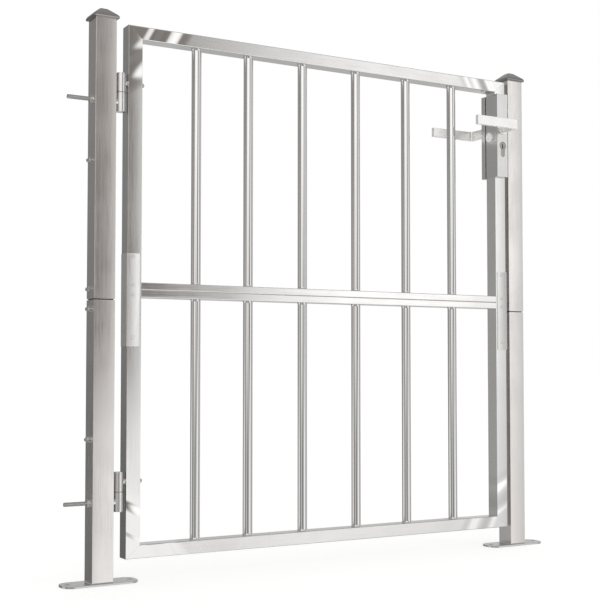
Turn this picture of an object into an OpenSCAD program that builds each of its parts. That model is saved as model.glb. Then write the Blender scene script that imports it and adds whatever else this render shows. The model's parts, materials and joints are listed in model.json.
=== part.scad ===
// Stainless steel pedestrian gate for a livestock pen: two posts, one barred leaf, a lever lock.
// X runs along the gate (hinge post at -X), +Y is the back, +Z is up, the floor is Z = 0.
// The leaf swings forward (-Y) on two lift-on hinges.

/* [Overall] */
// Width over the outer faces of the two posts
gate_w = 1000; // [800:1:1300]

/* [Posts] */
// Side of the square post tube
post_w = 40; // [35:1:60]
// Wall of the post tube
post_wall = 2; // [1.5:0.1:3]
// Height of the post tube's top end above the leaf's top
post_rise = 6; // [2:1:60]
// Drop of the joint between two post halves below the leaf's joint
seam_drop = 19; // [0:1:30]
// Wall of the sleeve that joins two post halves from inside
sleeve_wall = 2.5; // [2:0.1:4]
// Drop of the topmost sleeve bolt below the leaf's top
sleeve_bolt_drop = 256; // [235:1:360]
// Height of the near sleeve bolts above and below the joint
sleeve_bolt_near = 18; // [12:1:30]

/* [Base plates] */
// Length of a base plate along the gate
base_l = 144; // [120:1:180]
// Depth of a base plate
base_d = 50; // [44:1:80]
// Thickness of a base plate
base_t = 4; // [3:0.5:8]
// Corner radius of a base plate
base_corner_r = 20; // [5:1:22]
// Radius of a floor anchor hole
anchor_r = 4.5; // [3:0.1:6]
// Distance from a base plate's end to its anchor hole
anchor_inset = 13; // [10:1:20]

/* [Caps] */
// Side of the post cap
cap_w = 50; // [44:1:80]
// Thickness of the cap's square rim
cap_rim = 6; // [3:0.5:10]
// Rise of the cap's pyramid above the rim
cap_rise = 17; // [8:1:30]
// Width of the small flat on top of the pyramid
cap_flat = 14; // [1:1:15]
// Depth of the plug under the cap
cap_plug_h = 12; // [8:1:20]

/* [Leaf frame] */
// Gap between the hinge post and the leaf
hinge_gap = 23.5; // [22:0.5:30]
// Gap between the leaf and the latch post
latch_gap = 9.5; // [8:0.5:14]
// Height of the leaf's underside above the floor
leaf_z0 = 43; // [30:1:120]
// Height of the leaf
leaf_h = 982; // [800:1:1150]
// Width of a stile tube
stile_w = 27.5; // [25:0.5:40]
// Depth of the leaf frame's tubes
leaf_d = 30; // [28:1:40]
// Height of the top and bottom rails
rail_h = 25; // [20:1:40]
// Height of each of the two middle rails
mid_h = 14; // [12:1:25]
// Wall of the leaf frame's tubes
tube_wall = 1.5; // [1.2:0.1:2]

/* [Bars] */
// Diameter of a round bar
bar_d = 19; // [14:1:22]
// Wall of a bar's tube
bar_wall = 1.2; // [1:0.1:2]
// Bar positions as shares of the clear width between the stiles
bar_share = [0.1400, 0.2743, 0.4212, 0.5733, 0.7239, 0.8686];

/* [Hinges] */
// Radius of a hinge barrel
hinge_r = 9.5; // [8:0.1:9.8]
// Height of a hinge, both barrels together
hinge_len = 72; // [60:1:90]
// Height of the lower hinge's middle
hinge_z_low = 165.5; // [120:1:300]
// Drop of the upper hinge's middle below the leaf's top
hinge_drop = 127; // [70:1:300]
// Distance from the leaf's side to the hinge axis
hinge_off = 11; // [10:0.1:12]
// Distance from the leaf's front face back to the hinge axis
hinge_back = 10; // [9:0.1:10]
// Radius of the hinge pin
pin_r = 4; // [3:0.1:5]
// Radius of the threaded rod through the hinge post
rod_r = 4; // [3:0.1:5]
// Length of rod beyond the hinge post's outer face
rod_out = 50; // [20:1:51]

/* [Joining plates] */
// Thickness of a joining plate
plate_t = 1.5; // [1:0.1:2]
// Reach of a joining plate below the leaf's joint
plate_down = 104; // [60:1:140]
// Reach of a joining plate above the leaf's joint
plate_up = 67; // [50:1:110]
// Strip of the stile's front that a joining plate leaves bare
plate_inset = 3.5; // [1:0.5:8]

/* [Lock] */
// Drop of the lock case's top below the leaf's top
case_drop = 30; // [27:1:60]
// Height of the lock case
case_h = 184; // [170:1:200]
// Depth of the case in front of the leaf
case_front = 10; // [8:1:20]
// Depth of the case behind the leaf
case_back = 15; // [10:1:20]
// Sheet thickness of the lock case
case_wall = 1.5; // [1:0.1:2]
// Drop of the lever spindle below the case's top
spindle_drop = 77; // [60:1:90]
// Distance from the lever spindle down to the key cylinder's plug
plug_drop = 38; // [34:1:60]
// Radius of the key cylinder's round part
cyl_r = 8.5; // [8:0.1:9]
// Reach of a lever's outer face from the post's middle plane
lever_reach = 83; // [70:1:90]
// Length of a lever's leg along the gate
lever_l = 114; // [90:1:130]
// Height of the lever's flat bar
lever_h = 20; // [14:1:24]
// Thickness of the lever's flat bar
lever_t = 8; // [5:0.5:10]

/* [Hidden] */
$fn = 64;
bevel_over = 0.01;
fit_gap = 0.2;
run_gap = 0.05;
turn_gap = 0.3;
half_w = gate_w / 2;
half_post = post_w / 2;
front_y = -half_post;
back_y = front_y + leaf_d;
mid_y = front_y + leaf_d / 2;
leaf_x0 = -half_w + post_w + hinge_gap;
leaf_x1 = half_w - post_w - latch_gap;
leaf_z1 = leaf_z0 + leaf_h;
joint_z = leaf_z0 + leaf_h / 2;
seam_z = joint_z - seam_drop;
sleeve_bolt_far = leaf_z1 - sleeve_bolt_drop - seam_z;
post_top = leaf_z1 + post_rise;
in_x0 = leaf_x0 + stile_w;
in_x1 = leaf_x1 - stile_w;
post_x = [-half_w + half_post, half_w - half_post];
bore_w = post_w - 2 * post_wall;
sleeve_w = bore_w - 2 * fit_gap;
bolt_r = 3;
bolt_hole_r = 3.2;
bolt_z = [
    seam_z - sleeve_bolt_far,
    seam_z - sleeve_bolt_near,
    seam_z + sleeve_bolt_near,
    seam_z + sleeve_bolt_far
];
nut_h = 5;
nut_r = 5.77;
washer_h = 1.2;
washer_r = 6.5;
bolt_tail = 3;
bolt_head_r = 5.5;
bolt_head_h = 2.5;
sleeve_end = 16;
hinge_x = leaf_x0 - hinge_off;
hinge_y = front_y + hinge_back;
hinge_z_high = leaf_z1 - hinge_drop;
hinge_z = [hinge_z_low, hinge_z_high];
eye_gap = 0.5;
shoulder_r = 6.5;
knuckle_h = hinge_len / 2;
rod_dz = knuckle_h / 2;
pin_half = hinge_len * 0.4;
rod_nut_h = 6.5;
rod_nut_r = 7.5;
rod_washer_h = 1.6;
rod_washer_r = 8;
stud_r = 3;
dome_r = 4.4;
dome_nut_r = 5;
dome_nut_h = 3;
plate_w = stile_w + plate_t - plate_inset;
plate_z0 = joint_z - plate_down;
plate_z1 = joint_z + plate_up;
lock_x = leaf_x1 - 14;
case_z1 = leaf_z1 - case_drop;
case_z0 = case_z1 - case_h;
spindle_z = case_z1 - spindle_drop;
plug_z = spindle_z - plug_drop;
case_x0 = in_x1 - case_wall;
case_y0 = front_y - case_front;
case_y1 = back_y + case_back;
seam_gap = 1;
cyl_low_r = 5;
cyl_low_drop = 19.5;
rose_r = 13;
rose_h = 4;
collar_r = 8;
collar_h = 9;
spindle_w = 8;
wall_hole_r = 6.6;
hub_r = 8;
crank_r = 11.5;
crank_pin_r = 2.5;
slot_gap = 0.4;
latch_w = 12;
latch_h = 14;
latch_z0 = spindle_z + hub_r + 1;
latch_out = 5.5;
latch_x0 = in_x1 + 8;
spring_r = 2.5;
spring_z = latch_z0 + 10;
spring_seat = 15;
spring_wire = 0.8;
bolt_w = 8;
bolt_side_gap = 3;
deadbolt_z0 = plug_z - 22;
deadbolt_h = 16;
deadbolt_web = 1.9;
key_slot_gap = 0.5;
key_slot_h = 9;
keyway_w = 2.2;
web_t = 2.1;
web_w = 6;
key_crank = 10;
key_rest = 45;
plug_r = 6.5;
strike_t = 2;
strike_w = 22;
strike_gap = 2;
strike_z0 = case_z0 + 15;
strike_z1 = case_z1 - 27;
strike_screw_z = [strike_z0 + 8, strike_z1 - 8];
forend_t = 2;
forend_w = 20;
splice_w = [stile_w - 2 * tube_wall - 2 * fit_gap, leaf_d - 2 * tube_wall - 2 * fit_gap];
plate_screw_z = [plate_z1 - 6, joint_z + 9, joint_z - 9, plate_z0 + 16];
plate_screw_r = 2;
plate_head_r = 3.8;
plate_head_h = 1.2;
socket_r = 1.4;
socket_depth = 1.7;
boss_r = 10;
boss_h = 4;
boss_socket_r = 2.9;
boss_z = spindle_z - 17;

// ---------- shared shapes ----------

// Box from its low corner to its high corner
module span(lo, hi) {
    translate(lo)
        cube([hi[0] - lo[0], hi[1] - lo[1], hi[2] - lo[2]]);
}

// Cylinder along X from x0 to x1
module rod_x(r, x0, x1, y, z, sides = $fn) {
    translate([x0, y, z])
        rotate([0, 90, 0])
            cylinder(r = r, h = x1 - x0, $fn = sides);
}

// Cylinder along Y from y0 to y1
module rod_y(r, x, y0, y1, z, sides = $fn) {
    translate([x, y0, z])
        rotate([-90, 0, 0])
            cylinder(r = r, h = y1 - y0, $fn = sides);
}

// Upright rectangular tube, open at both ends
module tube_z(size, wall, x, y, z0, z1) {
    difference() {
        span([x - size[0] / 2, y - size[1] / 2, z0], [x + size[0] / 2, y + size[1] / 2, z1]);
        span([x - size[0] / 2 + wall, y - size[1] / 2 + wall, z0 - 1],
             [x + size[0] / 2 - wall, y + size[1] / 2 - wall, z1 + 1]);
    }
}

// Level rectangular tube along X, open at both ends
module tube_x(h, wall, x0, x1, z0) {
    difference() {
        span([x0, front_y, z0], [x1, back_y, z0 + h]);
        span([x0 - 1, front_y + wall, z0 + wall], [x1 + 1, back_y - wall, z0 + h - wall]);
    }
}

// Wedge that trims a tube's end along the mitre from an outer corner to an inner one
module mitre(points) {
    translate([0, back_y + 1, 0])
        rotate([90, 0, 0])
            linear_extrude(height = leaf_d + 2)
                polygon(points);
}

// ---------- posts ----------

module base_plate(x) {
    color("silver")
    difference() {
        translate([x, 0, 0])
            linear_extrude(height = base_t)
                hull()
                    for (sx = [-1, 1], sy = [-1, 1])
                        translate([sx * (base_l / 2 - base_corner_r), sy * (base_d / 2 - base_corner_r)])
                            circle(r = base_corner_r);
        for (sx = [-1, 1])
            translate([x + sx * (base_l / 2 - anchor_inset), 0, -1])
                cylinder(r = anchor_r, h = base_t + 2);
    }
}

module hinge_base_plate() {
    base_plate(post_x[0]);
}

module latch_base_plate() {
    base_plate(post_x[1]);
}

// One half of a post, drilled across for the sleeve bolts
module post_half(x, z0, z1) {
    color("gainsboro")
    difference() {
        tube_z([post_w, post_w], post_wall, x, 0, z0, z1);
        for (z = bolt_z)
            rod_x(bolt_hole_r, x - half_post - 1, x + half_post + 1, 0, z);
    }
}

// Holes through the hinge post for one hinge rod
module rod_hole(z) {
    rod_x(rod_r + fit_gap, -half_w - 1, -half_w + post_w + 1, hinge_y, z - rod_dz);
}

module hinge_post_lower() {
    difference() {
        post_half(post_x[0], base_t, seam_z);
        rod_hole(hinge_z_low);
    }
}

module hinge_post_upper() {
    difference() {
        post_half(post_x[0], seam_z, post_top);
        rod_hole(hinge_z_high);
    }
}

module latch_post_lower() {
    post_half(post_x[1], base_t, seam_z);
}

// The strike's two pockets through the latch post's inner wall
module latch_post_upper() {
    difference() {
        post_half(post_x[1], seam_z, post_top);
        strike_windows(post_wall + 1);
        for (z = strike_screw_z)
            rod_x(plate_screw_r + fit_gap, half_w - post_w - 1, half_w - post_w + post_wall + 1, mid_y, z);
    }
}

module post_sleeve(x) {
    color("silver")
    difference() {
        tube_z([sleeve_w, sleeve_w], sleeve_wall, x, 0, seam_z - sleeve_bolt_far - sleeve_end,
               seam_z + sleeve_bolt_far + sleeve_end);
        for (z = bolt_z)
            rod_x(bolt_hole_r, x - half_post, x + half_post, 0, z);
    }
}

module hinge_post_sleeve() {
    post_sleeve(post_x[0]);
}

module latch_post_sleeve() {
    post_sleeve(post_x[1]);
}

// Square cap: rim, low pyramid and a plug that fills the tube's mouth
module post_cap(x) {
    color("silver")
    union() {
        span([x - cap_w / 2, -cap_w / 2, post_top], [x + cap_w / 2, cap_w / 2, post_top + cap_rim]);
        translate([x, 0, post_top + cap_rim])
            linear_extrude(height = cap_rise, scale = cap_flat / cap_w)
                square(cap_w, center = true);
        span([x - sleeve_w / 2, -sleeve_w / 2, post_top - cap_plug_h],
             [x + sleeve_w / 2, sleeve_w / 2, post_top + 1]);
    }
}

module hinge_post_cap() {
    post_cap(post_x[0]);
}

module latch_post_cap() {
    post_cap(post_x[1]);
}

// Domed bolts across both posts, heads toward the leaf, threaded ends outward
module post_bolts() {
    color("silver")
    for (s = [-1, 1], z = bolt_z)
        scale([s, 1, 1])
            union() {
                rod_x(bolt_r, half_w - post_w, half_w + washer_h + nut_h + bolt_tail, 0, z);
                rod_x(bolt_head_r, half_w - post_w - bolt_head_h, half_w - post_w, 0, z);
            }
}

module post_bolt_washers() {
    color("silver")
    for (s = [-1, 1], z = bolt_z)
        scale([s, 1, 1])
            difference() {
                rod_x(washer_r, half_w, half_w + washer_h, 0, z);
                rod_x(bolt_r, half_w - 1, half_w + washer_h + 1, 0, z);
            }
}

module post_bolt_nuts() {
    color("silver")
    for (s = [-1, 1], z = bolt_z)
        scale([s, 1, 1])
            difference() {
                rod_x(nut_r, half_w + washer_h, half_w + washer_h + nut_h, 0, z, 6);
                rod_x(bolt_r, half_w, half_w + washer_h + nut_h + 1, 0, z);
            }
}

// ---------- hinges ----------

// Fixed lower barrel with its shoulder and the rod that runs out through the hinge post
module post_hinge_eyes() {
    color("lightgray")
    for (z = hinge_z)
        difference() {
            union() {
                translate([hinge_x, hinge_y, z - knuckle_h])
                    cylinder(r = hinge_r, h = knuckle_h - eye_gap);
                rod_x(shoulder_r, -half_w + post_w, hinge_x - pin_r - 1, hinge_y, z - rod_dz);
                rod_x(rod_r, -half_w - rod_out, -half_w + post_w + 1, hinge_y, z - rod_dz);
            }
            translate([hinge_x, hinge_y, z - pin_half])
                cylinder(r = pin_r, h = pin_half + 1);
        }
}

module hinge_rod_washers() {
    color("silver")
    for (z = hinge_z)
        difference() {
            rod_x(rod_washer_r, -half_w - rod_washer_h, -half_w, hinge_y, z - rod_dz);
            rod_x(rod_r, -half_w - 2, -half_w + 1, hinge_y, z - rod_dz);
        }
}

module hinge_rod_nuts() {
    color("silver")
    for (z = hinge_z)
        difference() {
            rod_x(rod_nut_r, -half_w - rod_washer_h - rod_nut_h, -half_w - rod_washer_h, hinge_y,
                  z - rod_dz, 6);
            rod_x(rod_r, -half_w - 2 - rod_nut_h, -half_w, hinge_y, z - rod_dz);
        }
}

// Pin pressed into the lower barrel, the upper barrel turns on it
module hinge_pins() {
    color("silver")
    for (z = hinge_z)
        translate([hinge_x, hinge_y, z - pin_half])
            cylinder(r = pin_r, h = 2 * pin_half);
}

module hinge_washers() {
    color("goldenrod")
    for (z = hinge_z)
        translate([hinge_x, hinge_y, z - eye_gap])
            difference() {
                cylinder(r = hinge_r - turn_gap, h = 2 * eye_gap - fit_gap);
                translate([0, 0, -1])
                    cylinder(r = pin_r, h = 3);
            }
}

// Turning upper barrel with its shoulder and the stud through the hinge stile
module leaf_hinge_eyes() {
    color("lightgray")
    for (z = hinge_z)
        difference() {
            union() {
                translate([hinge_x, hinge_y, z + eye_gap])
                    cylinder(r = hinge_r, h = knuckle_h - eye_gap);
                rod_x(shoulder_r, hinge_x + pin_r + 1, leaf_x0, hinge_y, z + rod_dz);
                rod_x(stud_r, leaf_x0 - 1, in_x0 + dome_nut_h + 1, hinge_y, z + rod_dz);
            }
            translate([hinge_x, hinge_y, z - 1])
                cylinder(r = pin_r + run_gap, h = pin_half + 2);
        }
}

module leaf_hinge_dome_nuts() {
    color("silver")
    for (z = hinge_z)
        translate([in_x0, hinge_y, z + rod_dz])
            rotate([0, 90, 0])
                difference() {
                    union() {
                        cylinder(r = dome_nut_r, h = dome_nut_h, $fn = 6);
                        intersection() {
                            translate([0, 0, dome_nut_h])
                                sphere(r = dome_r);
                            cylinder(r = dome_r + 1, h = dome_nut_h + dome_r + 1);
                        }
                    }
                    translate([0, 0, -1])
                        cylinder(r = stud_r, h = dome_nut_h + 2);
                }
}

// ---------- leaf frame ----------

module bottom_rail() {
    color("gainsboro")
    difference() {
        tube_x(rail_h, tube_wall, leaf_x0, leaf_x1, leaf_z0);
        mitre([[leaf_x0, leaf_z0], [in_x0, leaf_z0 + rail_h], [in_x0, leaf_z0 + rail_h + 1],
               [leaf_x0 - 1, leaf_z0 + rail_h + 1], [leaf_x0 - 1, leaf_z0]]);
        mitre([[leaf_x1, leaf_z0], [in_x1, leaf_z0 + rail_h], [in_x1, leaf_z0 + rail_h + 1],
               [leaf_x1 + 1, leaf_z0 + rail_h + 1], [leaf_x1 + 1, leaf_z0]]);
    }
}

module top_rail() {
    color("gainsboro")
    difference() {
        tube_x(rail_h, tube_wall, leaf_x0, leaf_x1, leaf_z1 - rail_h);
        mitre([[leaf_x0, leaf_z1], [in_x0, leaf_z1 - rail_h], [in_x0, leaf_z1 - rail_h - 1],
               [leaf_x0 - 1, leaf_z1 - rail_h - 1], [leaf_x0 - 1, leaf_z1]]);
        mitre([[leaf_x1, leaf_z1], [in_x1, leaf_z1 - rail_h], [in_x1, leaf_z1 - rail_h - 1],
               [leaf_x1 + 1, leaf_z1 - rail_h - 1], [leaf_x1 + 1, leaf_z1]]);
    }
}

module lower_mid_rail() {
    color("gainsboro")
    tube_x(mid_h, tube_wall, in_x0, in_x1, joint_z - mid_h);
}

module upper_mid_rail() {
    color("gainsboro")
    tube_x(mid_h, tube_wall, in_x0, in_x1, joint_z);
}

// Stile between the leaf's joint and a mitred outer end
module stile_half(x0, x1, out_x, in_x, upper) {
    z0 = upper ? joint_z : leaf_z0;
    z1 = upper ? leaf_z1 : joint_z;
    out_z = upper ? leaf_z1 : leaf_z0;
    in_z = upper ? leaf_z1 - rail_h : leaf_z0 + rail_h;
    past_z = upper ? leaf_z1 + 1 : leaf_z0 - 1;
    far_x = in_x + (in_x - out_x) * 0.1;
    color("gainsboro")
    difference() {
        tube_z([stile_w, leaf_d], tube_wall, (x0 + x1) / 2, mid_y, z0, z1);
        mitre([[out_x, out_z], [in_x, in_z], [far_x, in_z], [far_x, past_z], [out_x, past_z]]);
        for (z = plate_screw_z)
            rod_y(plate_screw_r, plate_screw_x(x0, x1), front_y - 1, front_y + tube_wall + 1, z);
    }
}

// Middle of the joining plate's front on the stile between x0 and x1
function plate_screw_x(x0, x1) = x0 < 0 ? x0 - plate_t + plate_w / 2 : x1 + plate_t - plate_w / 2;

// Stud hole across the hinge stile
module stud_hole(z) {
    rod_x(stud_r + fit_gap, leaf_x0 - 1, in_x0 + 1, hinge_y, z + rod_dz);
}

module hinge_stile_lower() {
    difference() {
        stile_half(leaf_x0, in_x0, leaf_x0, in_x0, false);
        stud_hole(hinge_z_low);
    }
}

module hinge_stile_upper() {
    difference() {
        stile_half(leaf_x0, in_x0, leaf_x0, in_x0, true);
        stud_hole(hinge_z_high);
    }
}

module latch_stile_lower() {
    stile_half(in_x1, leaf_x1, leaf_x1, in_x1, false);
}

// Latch stile with the lock's cut-outs: spindle, cylinder, the two bolts and the case screw
module latch_stile_upper() {
    difference() {
        stile_half(in_x1, leaf_x1, leaf_x1, in_x1, true);
        rod_y(wall_hole_r, lock_x, front_y - 1, back_y + 1, spindle_z);
        profile(fit_gap, front_y - 1, back_y + 1);
        bolt_windows(leaf_x1 - tube_wall - 1, leaf_x1 + 1);
        rod_x(stud_r + fit_gap, in_x1 - 1, in_x1 + tube_wall + 1, mid_y, boss_z);
        for (z = strike_screw_z)
            rod_x(plate_screw_r, leaf_x1 - tube_wall - 1, leaf_x1 + 1, mid_y, z);
    }
}

// Short inner tubes that carry the stiles across the leaf's joint
module stile_splices() {
    color("silver")
    for (x = [leaf_x0 + stile_w / 2, leaf_x1 - stile_w / 2])
        difference() {
            tube_z(splice_w, tube_wall, x, mid_y, plate_z0, plate_z1);
            for (z = plate_screw_z)
                rod_y(plate_screw_r, plate_screw_x(x - stile_w / 2, x + stile_w / 2), front_y,
                      mid_y, z);
        }
}

// Row of upright tube bars between two rails
module bars(z0, z1) {
    color("whitesmoke")
    for (share = bar_share)
        translate([in_x0 + share * (in_x1 - in_x0), mid_y, z0])
            difference() {
                cylinder(d = bar_d, h = z1 - z0);
                translate([0, 0, -1])
                    cylinder(d = bar_d - 2 * bar_wall, h = z1 - z0 + 2);
            }
}

module lower_bars() {
    bars(leaf_z0 + rail_h, joint_z - mid_h);
}

module upper_bars() {
    bars(joint_z + mid_h, leaf_z1 - rail_h);
}

// ---------- joining plates ----------

// Angle plate over a stile's front and outer side, drilled for four countersunk screws
module joining_plate(side) {
    out_x = side < 0 ? leaf_x0 : leaf_x1;
    in_edge = out_x + side * (plate_t - plate_w);
    lip_x = out_x + side * plate_t;
    color("silver")
    difference() {
        union() {
            span([min(lip_x, in_edge), front_y - plate_t, plate_z0],
                 [max(lip_x, in_edge), front_y, plate_z1]);
            span([min(out_x, lip_x), front_y - plate_t, plate_z0],
                 [max(out_x, lip_x), back_y - 2, plate_z1]);
        }
        for (z = plate_screw_z)
            rod_y(plate_screw_r, (lip_x + in_edge) / 2, front_y - plate_t - 1, front_y + 1, z);
    }
}

module hinge_joining_plate() {
    joining_plate(-1);
}

module latch_joining_plate() {
    joining_plate(1);
}

module joining_plate_screws() {
    color("dimgray")
    for (x = [plate_screw_x(leaf_x0, in_x0), plate_screw_x(in_x1, leaf_x1)], z = plate_screw_z)
        difference() {
            union() {
                rod_y(plate_screw_r, x, front_y - plate_t - plate_head_h / 2, front_y + 8, z);
                rod_y(plate_head_r, x, front_y - plate_t - plate_head_h, front_y - plate_t, z);
            }
            rod_y(socket_r, x, front_y - plate_t - plate_head_h - 1,
                  front_y - plate_t - plate_head_h + socket_depth, z, 6);
        }
}

// ---------- lock ----------

// Euro profile prism along Y, grown by g
module profile(g, y0, y1) {
    rod_y(cyl_r + g, lock_x, y0, y1, plug_z);
    rod_y(cyl_low_r + g, lock_x, y0, y1, plug_z - cyl_low_drop);
    span([lock_x - cyl_low_r - g, y0, plug_z - cyl_low_drop], [lock_x + cyl_low_r + g, y1, plug_z]);
}

// Openings for the latch bolt and the deadbolt in a wall across X
module bolt_windows(x0, x1) {
    span([x0, mid_y - latch_w / 2 - fit_gap, latch_z0 - fit_gap],
         [x1, mid_y + latch_w / 2 + fit_gap, latch_z0 + latch_h + fit_gap]);
    span([x0, mid_y - bolt_w / 2 - fit_gap, deadbolt_z0 - fit_gap],
         [x1, mid_y + bolt_w / 2 + fit_gap, deadbolt_z0 + deadbolt_h + fit_gap]);
}

// Openings in the latch post and its strike, larger than the bolts
module strike_windows(depth) {
    x0 = half_w - post_w - strike_t - 1;
    x1 = half_w - post_w + depth;
    span([x0, mid_y - latch_w / 2 - strike_gap, latch_z0 - strike_gap],
         [x1, mid_y + latch_w / 2 + strike_gap, latch_z0 + latch_h + strike_gap]);
    span([x0, mid_y - bolt_w / 2 - strike_gap, deadbolt_z0 - strike_gap],
         [x1, mid_y + bolt_w / 2 + strike_gap, deadbolt_z0 + deadbolt_h + strike_gap]);
}

// Front cover: a hollow front box and a flange down the stile's inner side
module lock_case() {
    color("silver")
    difference() {
        span([case_x0, case_y0, case_z0], [leaf_x1, back_y - seam_gap, case_z1]);
        span([in_x1, front_y, case_z0 - 1], [leaf_x1 + 1, back_y, case_z1 + 1]);
        span([in_x1, case_y0 + case_wall, case_z0 + case_wall],
             [leaf_x1 - case_wall, front_y + 1, case_z1 - case_wall]);
        rod_y(wall_hole_r, lock_x, case_y0 - 1, front_y, spindle_z);
        profile(fit_gap, case_y0 - 1, front_y);
        rod_x(stud_r + fit_gap, case_x0 - 1, in_x1 + 1, mid_y, boss_z);
    }
}

// Back cover: a hollow box on the stile's back face
module lock_back_box() {
    color("silver")
    difference() {
        span([case_x0, back_y, case_z0], [leaf_x1, case_y1, case_z1]);
        span([in_x1, back_y - 1, case_z0 + case_wall],
             [leaf_x1 - case_wall, case_y1 - case_wall, case_z1 - case_wall]);
        rod_y(wall_hole_r, lock_x, back_y, case_y1 + 1, spindle_z);
        profile(fit_gap, back_y, case_y1 + 1);
    }
}

// Thin plate on the stile's outer side that guides both bolts
module lock_forend() {
    color("silver")
    difference() {
        span([leaf_x1, mid_y - forend_w / 2, strike_z0],
             [leaf_x1 + forend_t, mid_y + forend_w / 2, strike_z1]);
        bolt_windows(leaf_x1 - 1, leaf_x1 + forend_t + 1);
    }
}

// Round socket screw on the inner side that pulls the case to the stile
module lock_side_screw() {
    color("whitesmoke")
    difference() {
        union() {
            rod_x(boss_r, case_x0 - boss_h, case_x0, mid_y, boss_z);
            rod_x(stud_r, case_x0 - 1, in_x1 + 6, mid_y, boss_z);
        }
        rod_x(boss_socket_r, case_x0 - boss_h - 1, case_x0 - 1, mid_y, boss_z, 6);
    }
}

module lever_roses() {
    color("silver")
    for (y = [case_y0 - rose_h, case_y1])
        difference() {
            rod_y(rose_r, lock_x, y, y + rose_h, spindle_z);
            rod_y(collar_r + run_gap, lock_x, y - 1, y + rose_h + 1, spindle_z);
        }
}

// Two half cylinders with a gap between them for the key crank
module cylinder_bodies() {
    color("goldenrod")
    difference() {
        union() {
            profile(0, case_y0 - 1, mid_y - bolt_w / 2 - bolt_side_gap);
            profile(0, mid_y + bolt_w / 2 + bolt_side_gap, case_y1 + 1);
        }
        rod_y(plug_r + run_gap, lock_x, case_y0 - 2, case_y1 + 2, plug_z);
    }
}

// Plug with keyways at both ends and a crank pin in the middle
module key_plug() {
    pin_x = lock_x - key_crank * sin(key_rest);
    pin_z = plug_z - key_crank * cos(key_rest);
    gap_y = [mid_y - bolt_w / 2 - bolt_side_gap, mid_y + bolt_w / 2 + bolt_side_gap];
    web_y = [gap_y[0] + turn_gap, gap_y[1] - turn_gap - web_t];
    color("gold")
    difference() {
        union() {
            rod_y(plug_r, lock_x, case_y0 - 1, web_y[0] + web_t, plug_z);
            rod_y(plug_r, lock_x, web_y[1], case_y1 + 1, plug_z);
            for (y = web_y)
                translate([lock_x, y, plug_z])
                    rotate([0, key_rest, 0])
                        translate([-web_w / 2, 0, -key_crank])
                            cube([web_w, web_t, key_crank]);
            rod_y(crank_pin_r, pin_x, web_y[0], web_y[1] + web_t, pin_z);
        }
        for (y = [case_y0 - 2, case_y1 - 8])
            span([lock_x - keyway_w / 2, y, plug_z - 5],
                 [lock_x + keyway_w / 2, y + 10, plug_z - 5 + key_slot_h]);
    }
}

// Sliding bolt with an upright slot for the key crank's pin
module deadbolt() {
    slot_x = lock_x - key_crank * sin(key_rest);
    slot_r = crank_pin_r + key_slot_gap;
    color("silver")
    difference() {
        span([slot_x - slot_r - deadbolt_web, mid_y - bolt_w / 2, deadbolt_z0],
             [leaf_x1, mid_y + bolt_w / 2, deadbolt_z0 + deadbolt_h]);
        span([slot_x - slot_r, mid_y - bolt_w / 2 - 1, plug_z - key_crank - crank_pin_r - 1],
             [slot_x + slot_r, mid_y + bolt_w / 2 + 1, plug_z]);
    }
}

// Sliding latch: bevelled nose, slot for the lever hub's crank pin, seat for the return spring
module latch_bolt() {
    x1 = leaf_x1 + latch_out;
    slot_r = crank_pin_r + slot_gap;
    color("lightgray")
    difference() {
        span([latch_x0, mid_y - latch_w / 2, latch_z0], [x1, mid_y + latch_w / 2, latch_z0 + latch_h]);
        span([lock_x - slot_r, mid_y - latch_w / 2 - 1, latch_z0 - 1],
             [lock_x + slot_r, mid_y + latch_w / 2 + 1, spindle_z + crank_r + slot_r]);
        rod_x(spring_r + slot_gap, latch_x0 - 1, latch_x0 + spring_seat, mid_y, spring_z);
        translate([x1, mid_y + latch_w / 2, latch_z0 - 1])
            linear_extrude(height = latch_h + 2)
                polygon([[bevel_over, -latch_w], [bevel_over, bevel_over], [-latch_out, bevel_over]]);
    }
}

// Return spring inside the latch bolt, drawn as its coil envelope
module latch_spring() {
    color("dimgray")
    difference() {
        rod_x(spring_r, in_x1 + tube_wall, latch_x0 + spring_seat, mid_y, spring_z);
        rod_x(spring_r - spring_wire, in_x1, latch_x0 + spring_seat + 1, mid_y, spring_z);
    }
}

// Lever: round collar, a neck straight out, a bend and a flat leg along the gate (s = -1 front)
module lever(s) {
    face_y = s < 0 ? case_y0 : case_y1;
    out_y = s * lever_reach;
    in_y = s * (lever_reach - lever_t);
    bend = lever_t - 1;
    right_x = lock_x + lever_t / 2;
    color("whitesmoke")
    difference() {
        union() {
            rod_y(collar_r, lock_x, min(face_y + s * turn_gap, face_y + s * collar_h),
                  max(face_y + s * turn_gap, face_y + s * collar_h), spindle_z);
            span([lock_x - lever_t / 2, min(face_y + s * 5, out_y - s * bend), spindle_z - lever_h / 2],
                 [right_x, max(face_y + s * 5, out_y - s * bend), spindle_z + lever_h / 2]);
            span([right_x - lever_l, min(in_y, out_y), spindle_z - lever_h / 2],
                 [right_x - bend, max(in_y, out_y), spindle_z + lever_h / 2]);
            translate([right_x - bend, out_y - s * bend, spindle_z - lever_h / 2])
                cylinder(r = bend, h = lever_h);
        }
        span([lock_x - spindle_w / 2, min(face_y - s * 1, face_y + s * 7), spindle_z - spindle_w / 2],
             [lock_x + spindle_w / 2, max(face_y - s * 1, face_y + s * 7), spindle_z + spindle_w / 2]);
    }
}

module front_lever() {
    lever(-1);
}

module back_lever() {
    lever(1);
}

module lever_spindle() {
    color("silver")
    span([lock_x - spindle_w / 2, case_y0 - 7, spindle_z - spindle_w / 2],
         [lock_x + spindle_w / 2, case_y1 + 7, spindle_z + spindle_w / 2]);
}

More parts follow.
